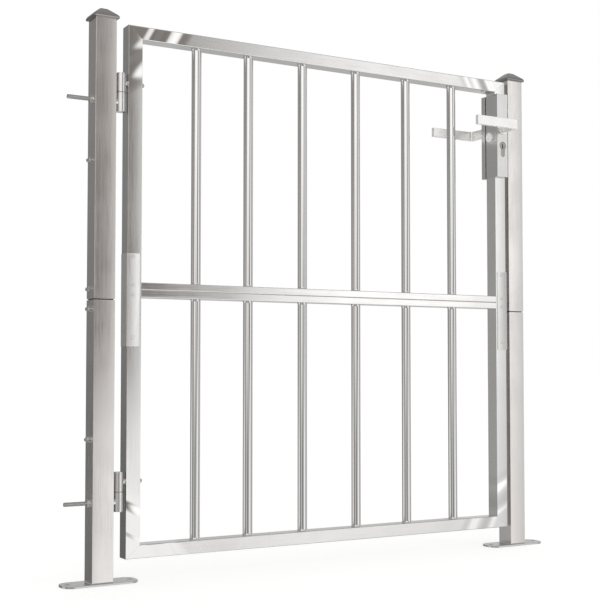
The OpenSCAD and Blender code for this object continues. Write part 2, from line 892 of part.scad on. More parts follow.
// Hub on the spindle with a crank beside the latch bolt and a pin through its slot
module lever_hub() {
    color("silver")
    difference() {
        union() {
            rod_y(hub_r, lock_x, mid_y - 8, mid_y + 11, spindle_z);
            span([lock_x - 4, mid_y + latch_w / 2 + 0.5, spindle_z],
                 [lock_x + 4, mid_y + latch_w / 2 + 4.5, spindle_z + crank_r]);
            rod_y(crank_pin_r, lock_x, mid_y - latch_w / 2, mid_y + latch_w / 2 + 4.5, spindle_z + crank_r);
            rod_y(4, lock_x, mid_y + latch_w / 2 + 0.5, mid_y + latch_w / 2 + 4.5, spindle_z + crank_r);
        }
        span([lock_x - spindle_w / 2, mid_y - 20, spindle_z - spindle_w / 2],
             [lock_x + spindle_w / 2, mid_y + 20, spindle_z + spindle_w / 2]);
    }
}

// ---------- strike ----------

module strike_plate() {
    color("silver")
    difference() {
        span([half_w - post_w - strike_t, mid_y - strike_w / 2, strike_z0],
             [half_w - post_w, mid_y + strike_w / 2, strike_z1]);
        strike_windows(1);
        for (z = strike_screw_z)
            rod_x(plate_screw_r, half_w - post_w - strike_t - 1, half_w - post_w + 1, mid_y, z);
    }
}

module strike_screws() {
    head_x = half_w - post_w - strike_t - plate_head_h;
    color("dimgray")
    for (z = strike_screw_z)
        difference() {
            union() {
                rod_x(plate_screw_r, head_x + plate_head_h / 2, half_w - post_w + 9, mid_y, z);
                rod_x(plate_head_r, head_x, half_w - post_w - strike_t, mid_y, z);
            }
            rod_x(socket_r, head_x - 1, head_x + socket_depth, mid_y, z, 6);
        }
}

// ---------- node picker ----------

hinge_base_plate();
latch_base_plate();
hinge_post_lower();
hinge_post_upper();
latch_post_lower();
latch_post_upper();
hinge_post_sleeve();
latch_post_sleeve();
hinge_post_cap();
latch_post_cap();
post_bolts();
post_bolt_washers();
post_bolt_nuts();
post_hinge_eyes();
hinge_rod_washers();
hinge_rod_nuts();
hinge_pins();
hinge_washers();
leaf_hinge_eyes();
leaf_hinge_dome_nuts();
bottom_rail();
top_rail();
lower_mid_rail();
upper_mid_rail();
hinge_stile_lower();
hinge_stile_upper();
latch_stile_lower();
latch_stile_upper();
stile_splices();
lower_bars();
upper_bars();
hinge_joining_plate();
latch_joining_plate();
joining_plate_screws();
lock_case();
lock_back_box();
lock_forend();
lock_side_screw();
lever_roses();
cylinder_bodies();
key_plug();
deadbolt();
latch_bolt();
latch_spring();
front_lever();
back_lever();
lever_spindle();
lever_hub();
strike_plate();
strike_screws();
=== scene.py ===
"""Looks of a stainless steel pen gate: two posts, one barred leaf on pin hinges and a lever lock."""

import json
import logging
import math
from dataclasses import dataclass, field
from enum import Enum

import bmesh
import bpy
from mathutils import Matrix, Vector

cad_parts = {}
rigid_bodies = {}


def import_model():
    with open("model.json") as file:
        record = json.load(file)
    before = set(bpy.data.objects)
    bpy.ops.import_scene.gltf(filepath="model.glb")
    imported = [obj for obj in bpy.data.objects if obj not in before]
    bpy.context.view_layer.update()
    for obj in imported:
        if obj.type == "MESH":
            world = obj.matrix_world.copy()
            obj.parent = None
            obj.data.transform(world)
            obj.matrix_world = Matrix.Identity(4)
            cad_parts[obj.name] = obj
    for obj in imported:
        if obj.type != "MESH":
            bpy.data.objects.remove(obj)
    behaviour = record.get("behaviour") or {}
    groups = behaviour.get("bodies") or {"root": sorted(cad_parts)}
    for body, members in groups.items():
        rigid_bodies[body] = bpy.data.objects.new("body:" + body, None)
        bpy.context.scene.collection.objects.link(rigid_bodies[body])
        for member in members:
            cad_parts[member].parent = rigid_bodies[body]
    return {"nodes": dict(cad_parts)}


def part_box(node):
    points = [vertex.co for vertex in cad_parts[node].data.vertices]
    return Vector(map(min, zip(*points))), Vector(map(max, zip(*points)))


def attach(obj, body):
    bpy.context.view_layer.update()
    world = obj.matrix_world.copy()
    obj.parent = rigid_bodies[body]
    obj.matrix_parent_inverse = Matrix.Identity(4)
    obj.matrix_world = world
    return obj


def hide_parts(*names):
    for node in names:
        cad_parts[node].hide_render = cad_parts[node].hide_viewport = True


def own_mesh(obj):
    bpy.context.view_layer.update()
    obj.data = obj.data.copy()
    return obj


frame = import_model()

LOG = logging.getLogger("gate")
MM = 0.001
# Steepest edge in degrees that still shades as one curve on a turned part.
SMOOTH_UP_TO = 32
# Vertices nearer than this, in metres, are one corner of the CAD solid.
SAME_CORNER = 2e-6
# An edge is rounded from this angle up; an outer corner lies this near its box and is at least this long.
SHARP_EDGE = math.radians(28)
OUTSIDE = 2e-5
LONG_EDGE = 0.02


class Grain(Enum):
    """The way the brushing or drawing marks run on a surface."""

    ALONG_X = (1.0, 0.0, 0.0)
    ALONG_Y = (0.0, 1.0, 0.0)
    ALONG_Z = (0.0, 0.0, 1.0)
    NONE = (0.0, 0.0, 0.0)


class Corners(Enum):
    """Whether the welded mitres of the leaf are buffed brighter than the rest of the tube."""

    PLAIN = 0
    BUFFED = 1


def linear(hex_colour: str) -> tuple[float, float, float, float]:
    """Turns an sRGB hex colour into a linear colour with alpha.

    Args:
        hex_colour: Six hex digits, with or without a leading hash.

    Returns:
        Red, green, blue and alpha, linear.
    """
    digits = hex_colour.lstrip("#")
    parts = [int(digits[i : i + 2], 16) / 255 for i in (0, 2, 4)]
    made = [c / 12.92 if c <= 0.04045 else ((c + 0.055) / 1.055) ** 2.4 for c in parts]
    return (*made, 1.0)


def put(tree: bpy.types.NodeTree, kind: str, feeds: dict | None = None, **settings) -> bpy.types.Node:
    """Adds one node with its settings, socket values and links.

    Args:
        tree: The node tree that gets the node.
        kind: The node's type name.
        feeds: Input names or numbers, each with a value or with the socket it is linked from.
        settings: Attributes of the node.

    Returns:
        The new node.
    """
    node = tree.nodes.new(kind)
    for key, value in settings.items():
        setattr(node, key, value)
    for name, source in (feeds or {}).items():
        if isinstance(source, bpy.types.NodeSocket):
            tree.links.new(source, node.inputs[name])
        else:
            node.inputs[name].default_value = source
    return node


@dataclass(frozen=True)
class Buffing:
    """The patch that a buffing wheel leaves round a welded mitre, in metres from the leaf's corner.

    Attributes:
        slant: How far the patch leans along the tube.
        starts: Where the wheel's dishes begin and where they are at full depth.
        fades: Where the patch begins to fade and where it ends.
        wave: Distance from one dish to the next.
        depth: Depth of a dish.
        gloss: Share of the tube's roughness that is left.
    """

    slant: float = 0.55
    starts: tuple[float, float] = (0.035, 0.06)
    fades: tuple[float, float] = (0.1, 0.135)
    wave: float = 0.067
    depth: float = 0.0009
    gloss: float = 0.25


BUFF = Buffing()


def maths(tree: bpy.types.NodeTree, operation: str,
          *values: bpy.types.NodeSocket | float) -> bpy.types.NodeSocket:
    """Adds one sum to a tree and gives its result."""
    return put(tree, "ShaderNodeMath", dict(enumerate(values)), operation=operation).outputs[0]


def ranged(tree: bpy.types.NodeTree, value: bpy.types.NodeSocket, start: float, end: float, low: float = 0.0,
           high: float = 1.0, **settings) -> bpy.types.NodeSocket:
    """Maps a value from one range to another, held at its ends.

    Args:
        tree: The node tree.
        value: The value's socket.
        start: The value that gives low.
        end: The value that gives high.
        low: Result at the start.
        high: Result at the end.
        settings: Attributes of the node.

    Returns:
        The result's socket.
    """
    feeds = {"Value": value, "From Min": start, "From Max": end, "To Min": low, "To Max": high}
    return put(tree, "ShaderNodeMapRange", feeds, **settings).outputs[0]


def mixed(tree: bpy.types.NodeTree, share: bpy.types.NodeSocket, first: bpy.types.NodeSocket | tuple,
          second: bpy.types.NodeSocket | tuple) -> bpy.types.NodeSocket:
    """Mixes two colours, each a socket or a value, by the share of the second."""
    return put(tree, "ShaderNodeMix", {0: share, 6: first, 7: second}, data_type="RGBA").outputs[2]


def stood(name: str, data: bpy.types.ID) -> bpy.types.Object:
    """Adds an object to the scene.

    Args:
        name: The object's name.
        data: Its mesh or camera.

    Returns:
        The object.
    """
    piece = bpy.data.objects.new(name, data)
    bpy.context.scene.collection.objects.link(piece)
    return piece


def drawn(work: bmesh.types.BMesh, name: str) -> bpy.types.Mesh:
    """Turns a bmesh into a mesh and frees it.

    Args:
        work: The bmesh.
        name: The mesh's name.

    Returns:
        The mesh.
    """
    mesh = bpy.data.meshes.new(name)
    work.to_mesh(mesh)
    work.free()
    return mesh


def smoothed(mesh: bpy.types.Mesh, sharp_from: float) -> bpy.types.Mesh:
    """Shades a mesh smooth, except across its sharp edges.

    Args:
        mesh: The mesh.
        sharp_from: Angle in degrees from which an edge is sharp.

    Returns:
        The same mesh.
    """
    for polygon in mesh.polygons:
        polygon.use_smooth = True
    mesh.set_sharp_from_angle(angle=math.radians(sharp_from))
    return mesh


@dataclass(frozen=True)
class Steel:
    """A bare metal surface: a base reflectance, fine drawn marks and a faint cloudiness.

    Attributes:
        name: Common name of the finish.
        colour: sRGB hex of the metal's reflectance.
        roughness: Middle roughness.
        grain: Direction of the marks.
        mark_mm: Width of one mark across the grain.
        length_mm: Length of one mark along the grain.
        spread: How far the marks move the roughness each way.
        relief_mm: Height of the marks.
        directional: Anisotropy, how much a reflection is drawn out across the grain.
        cloud_mm: Size of the faint patches that handling and rolling leave.
        corners: Whether the mitres are buffed.
        dusk: Share of darkening in the patches.
        crown_at: Distance of a tube's middle from the gate's middle, for the crown.
        crown: Curve of the crown that rolling leaves across a tube's face, per metre.
        metal: Share of bare metal; the rest is a matt skin.
    """

    name: str
    colour: str
    roughness: float
    grain: Grain = Grain.NONE
    mark_mm: float = 1.6
    length_mm: float = 60.0
    spread: float = 0.04
    relief_mm: float = 0.003
    directional: float = 0.0
    cloud_mm: float = 90.0
    corners: Corners = Corners.PLAIN
    dusk: float = 0.06
    crown_at: float = 0.0
    crown: float = 0.0
    metal: float = 1.0

    def build(self) -> bpy.types.Material:
        """Makes the material.

        Returns:
            The material, with one Principled shader.
        """
        material = bpy.data.materials.new(self.name)
        material.use_nodes = True
        tree = material.node_tree
        tree.nodes.clear()
        place = put(tree, "ShaderNodeTexCoord").outputs["Object"]
        across = 1 / (self.mark_mm * MM)
        along = 1 / (self.length_mm * MM)
        scale = [along if g else across for g in self.grain.value]
        marks_at = put(tree, "ShaderNodeMapping", {"Vector": place, "Scale": scale}).outputs[0]
        marks = put(tree, "ShaderNodeTexNoise", {"Vector": marks_at, "Scale": 1.0, "Detail": 3.0,
                                                 "Roughness": 0.6})
        clouds = put(tree, "ShaderNodeTexNoise",
                     {"Vector": place, "Scale": 1 / (self.cloud_mm * MM), "Detail": 4.0, "Roughness": 0.55})
        rough = ranged(tree, marks.outputs["Fac"], 0.3, 0.7, self.roughness - self.spread,
                       self.roughness + self.spread)
        haze = ranged(tree, clouds.outputs["Fac"], 0.35, 0.7, -0.5 * self.spread, self.spread)
        rough = put(tree, "ShaderNodeMath", {0: rough, 1: haze}, operation="ADD", use_clamp=True).outputs[0]
        base = linear(self.colour)
        dim = tuple(c * (1 - self.dusk) for c in base[:3]) + (1.0,)
        tone = mixed(tree, clouds.outputs["Fac"], base, dim)
        relief = put(tree, "ShaderNodeBump", {"Height": marks.outputs["Fac"], "Strength": 0.6,
                                              "Distance": self.relief_mm * MM}).outputs[0]
        if self.corners is Corners.BUFFED:
            rough, relief = self.buff(tree, place, rough, relief)
        if self.crown:
            relief = self.crowned(tree, place, relief)
        shader = put(tree, "ShaderNodeBsdfPrincipled",
                     {"Base Color": tone, "Metallic": self.metal, "Roughness": rough, "Normal": relief,
                      "Anisotropic": self.directional,
                      "Anisotropic Rotation": 0.25 if self.directional else 0.0})
        if self.directional:
            turned = put(tree, "ShaderNodeVectorTransform", {"Vector": self.grain.value},
                         vector_type="VECTOR", convert_from="OBJECT", convert_to="WORLD")
            tree.links.new(turned.outputs[0], shader.inputs["Tangent"])
        put(tree, "ShaderNodeOutputMaterial", {"Surface": shader.outputs[0]})
        return material

    def crowned(self, tree: bpy.types.NodeTree, place: bpy.types.NodeSocket,
                relief: bpy.types.NodeSocket) -> bpy.types.NodeSocket:
        """Bulges the faces that look along Y a little, as rolled tube does.

        Args:
            tree: The material's tree.
            place: Object coordinates.
            relief: Normal so far.

        Returns:
            The new normal.
        """
        side = maths(tree, "ABSOLUTE", put(tree, "ShaderNodeSeparateXYZ", {0: place}).outputs[0])
        side = maths(tree, "SUBTRACT", side, self.crown_at)
        sag = maths(tree, "MULTIPLY", maths(tree, "MULTIPLY", side, side), -0.5 * self.crown)
        return put(tree, "ShaderNodeBump", {"Height": sag, "Strength": 1.0, "Distance": 1.0,
                                            "Normal": relief}).outputs[0]

    def buff(self, tree: bpy.types.NodeTree, place: bpy.types.NodeSocket, rough: bpy.types.NodeSocket,
             relief: bpy.types.NodeSocket) -> tuple[bpy.types.NodeSocket, bpy.types.NodeSocket]:
        """Adds the wheel-buffed welds: near the corners the tube is mirror bright and faintly dished.

        Args:
            tree: The material's tree.
            place: Object coordinates.
            rough: Roughness so far.
            relief: Normal so far.

        Returns:
            The new roughness and normal.
        """
        low, high = leaf_box()
        middle, half = (low + high) / 2, (high - low) / 2
        centred = put(tree, "ShaderNodeMapping",
                      {"Vector": place, "Location": [-c for c in middle]}).outputs[0]
        folded = put(tree, "ShaderNodeVectorMath", {0: centred}, operation="ABSOLUTE").outputs[0]
        from_corner = put(tree, "ShaderNodeVectorMath", {0: list(half), 1: folded},
                          operation="SUBTRACT").outputs[0]
        parts = put(tree, "ShaderNodeSeparateXYZ", {0: from_corner}).outputs
        slanted = [maths(tree, "ADD", parts[i], maths(tree, "MULTIPLY", parts[2 - i],
                                                      BUFF.slant)) for i in (0, 2)]
        reach = maths(tree, "MAXIMUM", *slanted)
        zone = ranged(tree, reach, *BUFF.fades, 1.0, 0.0, interpolation_type="SMOOTHSTEP")
        inner = ranged(tree, reach, *BUFF.starts, interpolation_type="SMOOTHSTEP")
        wave = maths(tree, "SINE", maths(tree, "MULTIPLY", reach, 2 * math.pi / BUFF.wave))
        dish = maths(tree, "MULTIPLY", maths(tree, "MULTIPLY", wave, zone), inner)
        relief = put(tree, "ShaderNodeBump", {"Height": dish, "Strength": 1.0, "Distance": BUFF.depth,
                                              "Normal": relief}).outputs[0]
        keep = ranged(tree, maths(tree, "SUBTRACT", 1.0, zone), 0.0, 1.0, BUFF.gloss, 1.0)
        return maths(tree, "MULTIPLY", rough, keep), relief


def leaf_box() -> tuple[Vector, Vector]:
    """Lowest and highest corner of the leaf's welded frame."""
    low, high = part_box("bottom_rail")
    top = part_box("top_rail")[1]
    return low, Vector((high.x, high.y, top.z))


# The real marks of brushing and tumbling are about 0.1 mm wide, which is too fine to show, so they are all
# drawn as coarse as they need to be to show, 0.3 to 1.6 mm wide.
# Belt-brushed square tube: fine marks run up the post, so reflections smear sideways.
POST_TUBE = Steel("belt_brushed_stainless_post_tube", "#E6E2DF", 0.22, Grain.ALONG_Z, directional=0.5,
                  crown_at=0.48, crown=2.6)
# Finer brushed stile tube with wheel-buffed mitres: a clearer, brighter reflection.
STILE_TUBE = Steel("fine_brushed_stainless_stile", "#E6E5E3", 0.18, Grain.ALONG_Z, directional=0.5,
                   corners=Corners.BUFFED, crown_at=0.43, crown=2.0)
# The same tube laid level: the marks run along the rail and smear its reflections up and down.
RAIL_TUBE = Steel("fine_brushed_stainless_rail", "#E6E5E3", 0.26, Grain.ALONG_X, directional=0.7,
                  corners=Corners.BUFFED)
# Narrow middle rails, drawn bright: almost a mirror with faint lines along it.
MID_RAIL = Steel("bright_drawn_stainless_rail", "#EAE9E7", 0.16, Grain.ALONG_X, directional=0.3)
# Round bright-drawn tube: sharp upright highlights with soft edges.
BAR_TUBE = Steel("bright_drawn_stainless_round_tube", "#EBEAE9", 0.07, Grain.ALONG_Z, mark_mm=1.5,
                 length_mm=160, spread=0.015, relief_mm=0.001)
# Polished folded plate: brighter than the stile under it.
FOLDED_PLATE = Steel("polished_stainless_folded_plate", "#F6F5F3", 0.33, Grain.ALONG_Z, spread=0.05,
                     crown_at=0.43, crown=8.0)
# Satin floor plate: duller from handling, darker patches near the floor.
FLOOR_PLATE = Steel("satin_stainless_floor_plate", "#DAD9D7", 0.28, Grain.ALONG_X, cloud_mm=40, dusk=0.12)
# Inner sleeve coloured dull and dark as painted shade, so that it shows only as a dark line in the open
# joint.
PAINTED_SHADE_SLEEVE = Steel("mill_finish_inner_sleeve", "#4E4B48", 0.5, Grain.ALONG_Z, cloud_mm=30, dusk=0.2)
# Pressed cap: satin, a shade darker than the tube.
PRESSED_CAP = Steel("pressed_satin_stainless_cap", "#A8A5A3", 0.24, Grain.ALONG_Y, cloud_mm=30, dusk=0.1)
# Brushed sheet of the lock's covers.
LOCK_SHEET = Steel("brushed_stainless_lock_sheet", "#DEDDDB", 0.24, Grain.ALONG_Z, directional=0.3)
# Bead-blasted cast lever: a pale even sheen without a sharp highlight.
CAST_LEVER = Steel("bead_blasted_cast_stainless", "#FBFAF8", 0.24, mark_mm=0.5, length_mm=0.5, relief_mm=0.01,
                   cloud_mm=25, dusk=0.03, metal=0.55)
# Zinc-flaked boss screw: almost white and matt, so that its socket shows as a dark hole.
ZINC_BOSS = Steel("zinc_flaked_boss_screw", "#FFFFFF", 0.3, mark_mm=0.5, length_mm=0.5, relief_mm=0.008,
                  cloud_mm=8, dusk=0.05, metal=0.15)
# Turned hinge barrel: rings round the barrel from the tool.
TURNED_BARREL = Steel("turned_stainless_barrel", "#E8E7E5", 0.22, Grain.ALONG_X, mark_mm=0.5, length_mm=20,
                      cloud_mm=20)
# Rolled and barrel-tumbled screws, nuts and washers: small and slightly grey.
FASTENER = Steel("tumbled_stainless_fastener", "#DDDCDA", 0.18, mark_mm=0.4, length_mm=0.4, relief_mm=0.01,
                 cloud_mm=8, dusk=0.15)
# Milled bolts and hub inside the lock, with tool marks across.
MILLED_STEEL = Steel("milled_steel_lock_bolt", "#BDBCBA", 0.3, Grain.ALONG_Y, mark_mm=0.5, cloud_mm=12,
                     dusk=0.15)
# Nickel-plated brass cylinder: a warm cast under the plating.
PLATED_BRASS = Steel("nickel_plated_brass_cylinder", "#A5A19A", 0.22, Grain.ALONG_Y, mark_mm=0.4, length_mm=8,
                     cloud_mm=10)
# Bare brass thrust washer, dulled by grease.
GREASED_BRASS = Steel("greased_brass_washer", "#8A7A52", 0.42, mark_mm=0.4, length_mm=0.4, cloud_mm=6,
                      dusk=0.3)
# Blued spring wire, dark with a soft shine.
SPRING_WIRE = Steel("blued_spring_wire", "#5A5C60", 0.3, mark_mm=0.3, length_mm=0.3, cloud_mm=5)


class Shelf:
    """Holds each finish's material, so that a finish is built once."""

    def __init__(self) -> None:
        """Starts with no finish built."""
        self.made: dict[str, bpy.types.Material] = {}

    def get(self, finish: Steel) -> bpy.types.Material:
        """Gives a finish's material.

        Args:
            finish: The finish.

        Returns:
            Its material, the same one each time.
        """
        if finish.name not in self.made:
            self.made[finish.name] = finish.build()
        return self.made[finish.name]


SHELF = Shelf()


def settle(name: str, mesh: bpy.types.Mesh, body: str, slot: str, finish: Steel,
           *stands_for: str) -> bpy.types.Object:
    """Makes the finished object of one piece and ties it to its body.

    Args:
        name: Name of the piece.
        mesh: Its mesh, in place.
        body: The body it moves with.
        slot: The record's material slot. Not used.
        finish: Its finish.
        stands_for: CAD nodes that it replaces.

    Returns:
        The object.
    """
    mesh.materials.clear()
    mesh.materials.append(SHELF.get(finish))
    for polygon in mesh.polygons:
        polygon.material_index = 0
    piece = stood(name, mesh)
    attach(piece, body)
    if stands_for:
        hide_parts(*stands_for)
    LOG.info("%s: %d faces, rides on %s", name, len(mesh.polygons), body)
    return piece


def baked(piece: bpy.types.Object, name: str) -> bpy.types.Mesh:
    """Turns an object with modifiers into a plain mesh and removes the object.

    Args:
        piece: The object with its modifiers.
        name: Name of the mesh that is made.

    Returns:
        The plain mesh.
    """
    bpy.context.view_layer.update()
    seen = piece.evaluated_get(bpy.context.evaluated_depsgraph_get())
    mesh = bpy.data.meshes.new_from_object(seen)
    mesh.name = name
    old = piece.data
    bpy.data.objects.remove(piece)
    if old.users == 0:
        bpy.data.meshes.remove(old)
    return mesh


@dataclass
class Softened:
    """A CAD shape with the rounded edges that drawing, folding or deburring leaves.

    Attributes:
        node: The CAD node that is copied.
        body: The body it moves with.
        slot: The record's material slot.
        finish: Its finish.
        corner_mm: Rounding of the long outer corners.
        edge_mm: Rounding of every other sharp edge.
        axis: Direction of the long corners, 0 for X, 1 for Y, 2 for Z, or None for no long corners.
        steps: Facets across a rounding.
        cut_x: Where the copy is cut off across X, keeping what lies beyond, or None.
        drawn_in: A direction, and how far in mm its low and high ends are drawn in to open a joint.
    """

    node: str
    body: str
    slot: str
    finish: Steel
    corner_mm: float = 1.0
    edge_mm: float = 0.3
    axis: int | None = None
    steps: int = 3
    cut_x: float | None = None
    drawn_in: tuple[int, float, float] = (2, 0.0, 0.0)

    def merged(self) -> bmesh.types.BMesh:
        """Copies the node's loose triangles into one closed surface with its flat faces joined.

        Returns:
            The bmesh, which the caller frees.
        """
        work = bmesh.new()
        work.from_mesh(frame["nodes"][self.node].data)
        bmesh.ops.remove_doubles(work, verts=work.verts, dist=SAME_CORNER)
        if self.cut_x is not None:
            everything = list(work.verts) + list(work.edges) + list(work.faces)
            bmesh.ops.bisect_plane(work, geom=everything, plane_co=(self.cut_x, 0, 0), plane_no=(1, 0, 0),
                                   clear_inner=True)
            bmesh.ops.holes_fill(work, edges=[e for e in work.edges if e.is_boundary])
        bmesh.ops.dissolve_limit(work, angle_limit=math.radians(0.5), verts=work.verts, edges=work.edges,
                                 delimit={"NORMAL"})
        return work

    def weigh(self, work: bmesh.types.BMesh) -> None:
        """Marks which edges are rounded, and how much.

        Args:
            work: The merged surface.
        """
        low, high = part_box(self.node)
        weight = work.edges.layers.float.new("bevel_weight_edge")
        small = self.edge_mm / self.corner_mm
        for edge in work.edges:
            if len(edge.link_faces) != 2 or edge.calc_face_angle(0.0) < SHARP_EDGE:
                continue
            edge[weight] = small
            if self.axis is None:
                continue
            others = [i for i in range(3) if i != self.axis]
            along = edge.verts[1].co - edge.verts[0].co
            outer = all(min(abs(v.co[i] - low[i]), abs(v.co[i] - high[i])) < OUTSIDE
                        for v in edge.verts for i in others)
            if outer and abs(along[self.axis]) > 0.95 * along.length and along.length > LONG_EDGE:
                edge[weight] = 1.0

    def build(self) -> bpy.types.Object:
        """Makes the rounded piece and lets it stand for its node."""
        return settle(self.node + "_soft", self.mesh(), self.body, self.slot, self.finish, self.node)

    def mesh(self) -> bpy.types.Mesh:
        """Makes the rounded mesh.

        Returns:
            The plain mesh.
        """
        work = self.merged()
        self.weigh(work)
        low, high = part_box(self.node)
        way, from_low, from_high = self.drawn_in
        for vert in work.verts:
            if from_low and vert.co[way] < low[way] + 0.1 * MM:
                vert.co[way] += from_low * MM
            elif from_high and vert.co[way] > high[way] - 0.1 * MM:
                vert.co[way] -= from_high * MM
        made = drawn(work, self.node + "_work")
        for polygon in made.polygons:
            polygon.use_smooth = True
        piece = stood(self.node + "_work", made)
        rounding = piece.modifiers.new("rounding", "BEVEL")
        rounding.limit_method = "WEIGHT"
        rounding.width = self.corner_mm * MM
        rounding.segments = self.steps
        rounding.use_clamp_overlap = True
        rounding.loop_slide = False
        rounding.miter_outer = "MITER_ARC"
        shading = piece.modifiers.new("shading", "WEIGHTED_NORMAL")
        shading.keep_sharp = True
        shading.weight = 60
        return baked(piece, self.node + "_soft")


class Tree:
    """A geometry node tree with named inputs, built step by step."""

    def __init__(self, name: str, inputs: list[tuple[str, str]]) -> None:
        """Makes an empty tree.

        Args:
            name: Name of the tree.
            inputs: Name and socket type of each input after the geometry.
        """
        self.tree = bpy.data.node_groups.new(name, "GeometryNodeTree")
        face = self.tree.interface
        face.new_socket("Geometry", in_out="INPUT", socket_type="NodeSocketGeometry")
        self.ids = {}
        for label, kind in inputs:
            self.ids[label] = face.new_socket(label, in_out="INPUT", socket_type=kind).identifier
        face.new_socket("Geometry", in_out="OUTPUT", socket_type="NodeSocketGeometry")
        self.given = put(self.tree, "NodeGroupInput")
        self.sent = put(self.tree, "NodeGroupOutput")

    def put(self, kind: str, feeds: dict | None = None, **settings) -> bpy.types.Node:
        """Adds a node, as the function put does."""
        return put(self.tree, kind, feeds, **settings)

    def maths(self, operation: str, *values: bpy.types.NodeSocket | float) -> bpy.types.NodeSocket:
        """Adds a sum, as the function maths does."""
        return maths(self.tree, operation, *values)

    def close(self, geometry: bpy.types.NodeSocket) -> None:
        """Ends the tree: instances made real, material set.

        Args:
            geometry: The geometry to send out.
        """
        real = self.put("GeometryNodeRealizeInstances", {0: geometry})
        dressed = self.put("GeometryNodeSetMaterial",
                           {"Geometry": real.outputs[0], "Material": self.given.outputs["Material"]})
        self.tree.links.new(dressed.outputs[0], self.sent.inputs[0])

    def run(self, name: str, points: list[Vector], turns: list[Vector], **values) -> bpy.types.Mesh:
        """Runs the tree on a set of points.

        Args:
            name: Name of the mesh that is made.
            points: Where each copy goes.
            turns: Euler turn of each copy.
            values: The named inputs, with underscores for spaces.

        Returns:
            The plain mesh.
        """
        seed = bpy.data.meshes.new(name)
        seed.from_pydata([tuple(p) for p in points], [], [])
        turn = seed.attributes.new("turn", "FLOAT_VECTOR", "POINT")
        turn.data.foreach_set("vector", [c for t in turns for c in t])
        piece = stood(name, seed)
        nodes = piece.modifiers.new("nodes", "NODES")
        nodes.node_group = self.tree
        for label, value in values.items():
            nodes[self.ids[label.replace("_", " ")]] = value
        return baked(piece, name)


def scatter_tree() -> Tree:
    """Tree that sets copies of a part on points, each clocked by a random angle about its own X axis."""
    made = Tree("fastener_row", [("Part", "NodeSocketObject"), ("Clocking", "NodeSocketFloat"),
                                 ("Seed", "NodeSocketInt"), ("Material", "NodeSocketMaterial")])
    part = made.put("GeometryNodeObjectInfo", {"Object": made.given.outputs["Part"]})
    turn = made.put("GeometryNodeInputNamedAttribute", {"Name": "turn"}, data_type="FLOAT_VECTOR")
    placed = made.put("GeometryNodeInstanceOnPoints",
                      {"Points": made.given.outputs[0], "Instance": part.outputs["Geometry"],
                       "Rotation": turn.outputs[0]})
    angle = made.put("FunctionNodeRandomValue", {"Seed": made.given.outputs["Seed"]}, data_type="FLOAT")
    made.tree.links.new(made.given.outputs["Clocking"], angle.inputs[3])
    spun = made.put("ShaderNodeCombineXYZ", {"X": angle.outputs[1]})
    clocked = made.put("GeometryNodeRotateInstances",
                       {"Instances": placed.outputs[0], "Rotation": spun.outputs[0]})
    made.close(clocked.outputs[0])
    return made


def coil_tree() -> Tree:
    """Tree that winds a wire or a thread ridge round X, with an optional solid core."""
    made = Tree("coil", [("Turns", "NodeSocketFloat"), ("Length", "NodeSocketFloat"),
                         ("Radius", "NodeSocketFloat"),
                         ("Wire", "NodeSocketFloat"), ("Sides", "NodeSocketInt"), ("Core", "NodeSocketFloat"),
                         ("Material", "NodeSocketMaterial")])
    given = made.given.outputs
    winding = made.put("GeometryNodeCurveSpiral",
                       {"Resolution": 20, "Rotations": given["Turns"], "Start Radius": given["Radius"],
                        "End Radius": given["Radius"], "Height": given["Length"]})
    section = made.put("GeometryNodeCurvePrimitiveCircle",
                       {"Resolution": given["Sides"], "Radius": given["Wire"]})
    ridge = made.put("GeometryNodeCurveToMesh",
                     {"Curve": winding.outputs[0], "Profile Curve": section.outputs[0],
                                                 "Fill Caps": True})
    smooth = made.put("GeometryNodeSetShadeSmooth", {0: ridge.outputs[0]})
    bar = made.put("GeometryNodeMeshCylinder",
                   {"Vertices": 24, "Radius": given["Core"], "Depth": given["Length"]})
    half = made.maths("MULTIPLY", given["Length"], 0.5)
    lift = made.put("ShaderNodeCombineXYZ", {"Z": half})
    moved = made.put("GeometryNodeTransform", {"Geometry": bar.outputs[0], "Translation": lift.outputs[0]})
    both = made.put("GeometryNodeJoinGeometry")
    made.tree.links.new(smooth.outputs[0], both.inputs[0])
    made.tree.links.new(moved.outputs[0], both.inputs[0])
    level = made.put("GeometryNodeTransform", {"Geometry": both.outputs[0],
                                               "Rotation": (0.0, math.pi / 2, 0.0)})
    turn = made.put("GeometryNodeInputNamedAttribute", {"Name": "turn"}, data_type="FLOAT_VECTOR")
    placed = made.put("GeometryNodeInstanceOnPoints", {"Points": given[0], "Instance": level.outputs[0],
                                                       "Rotation": turn.outputs[0]})
    made.close(placed.outputs[0])
    return made


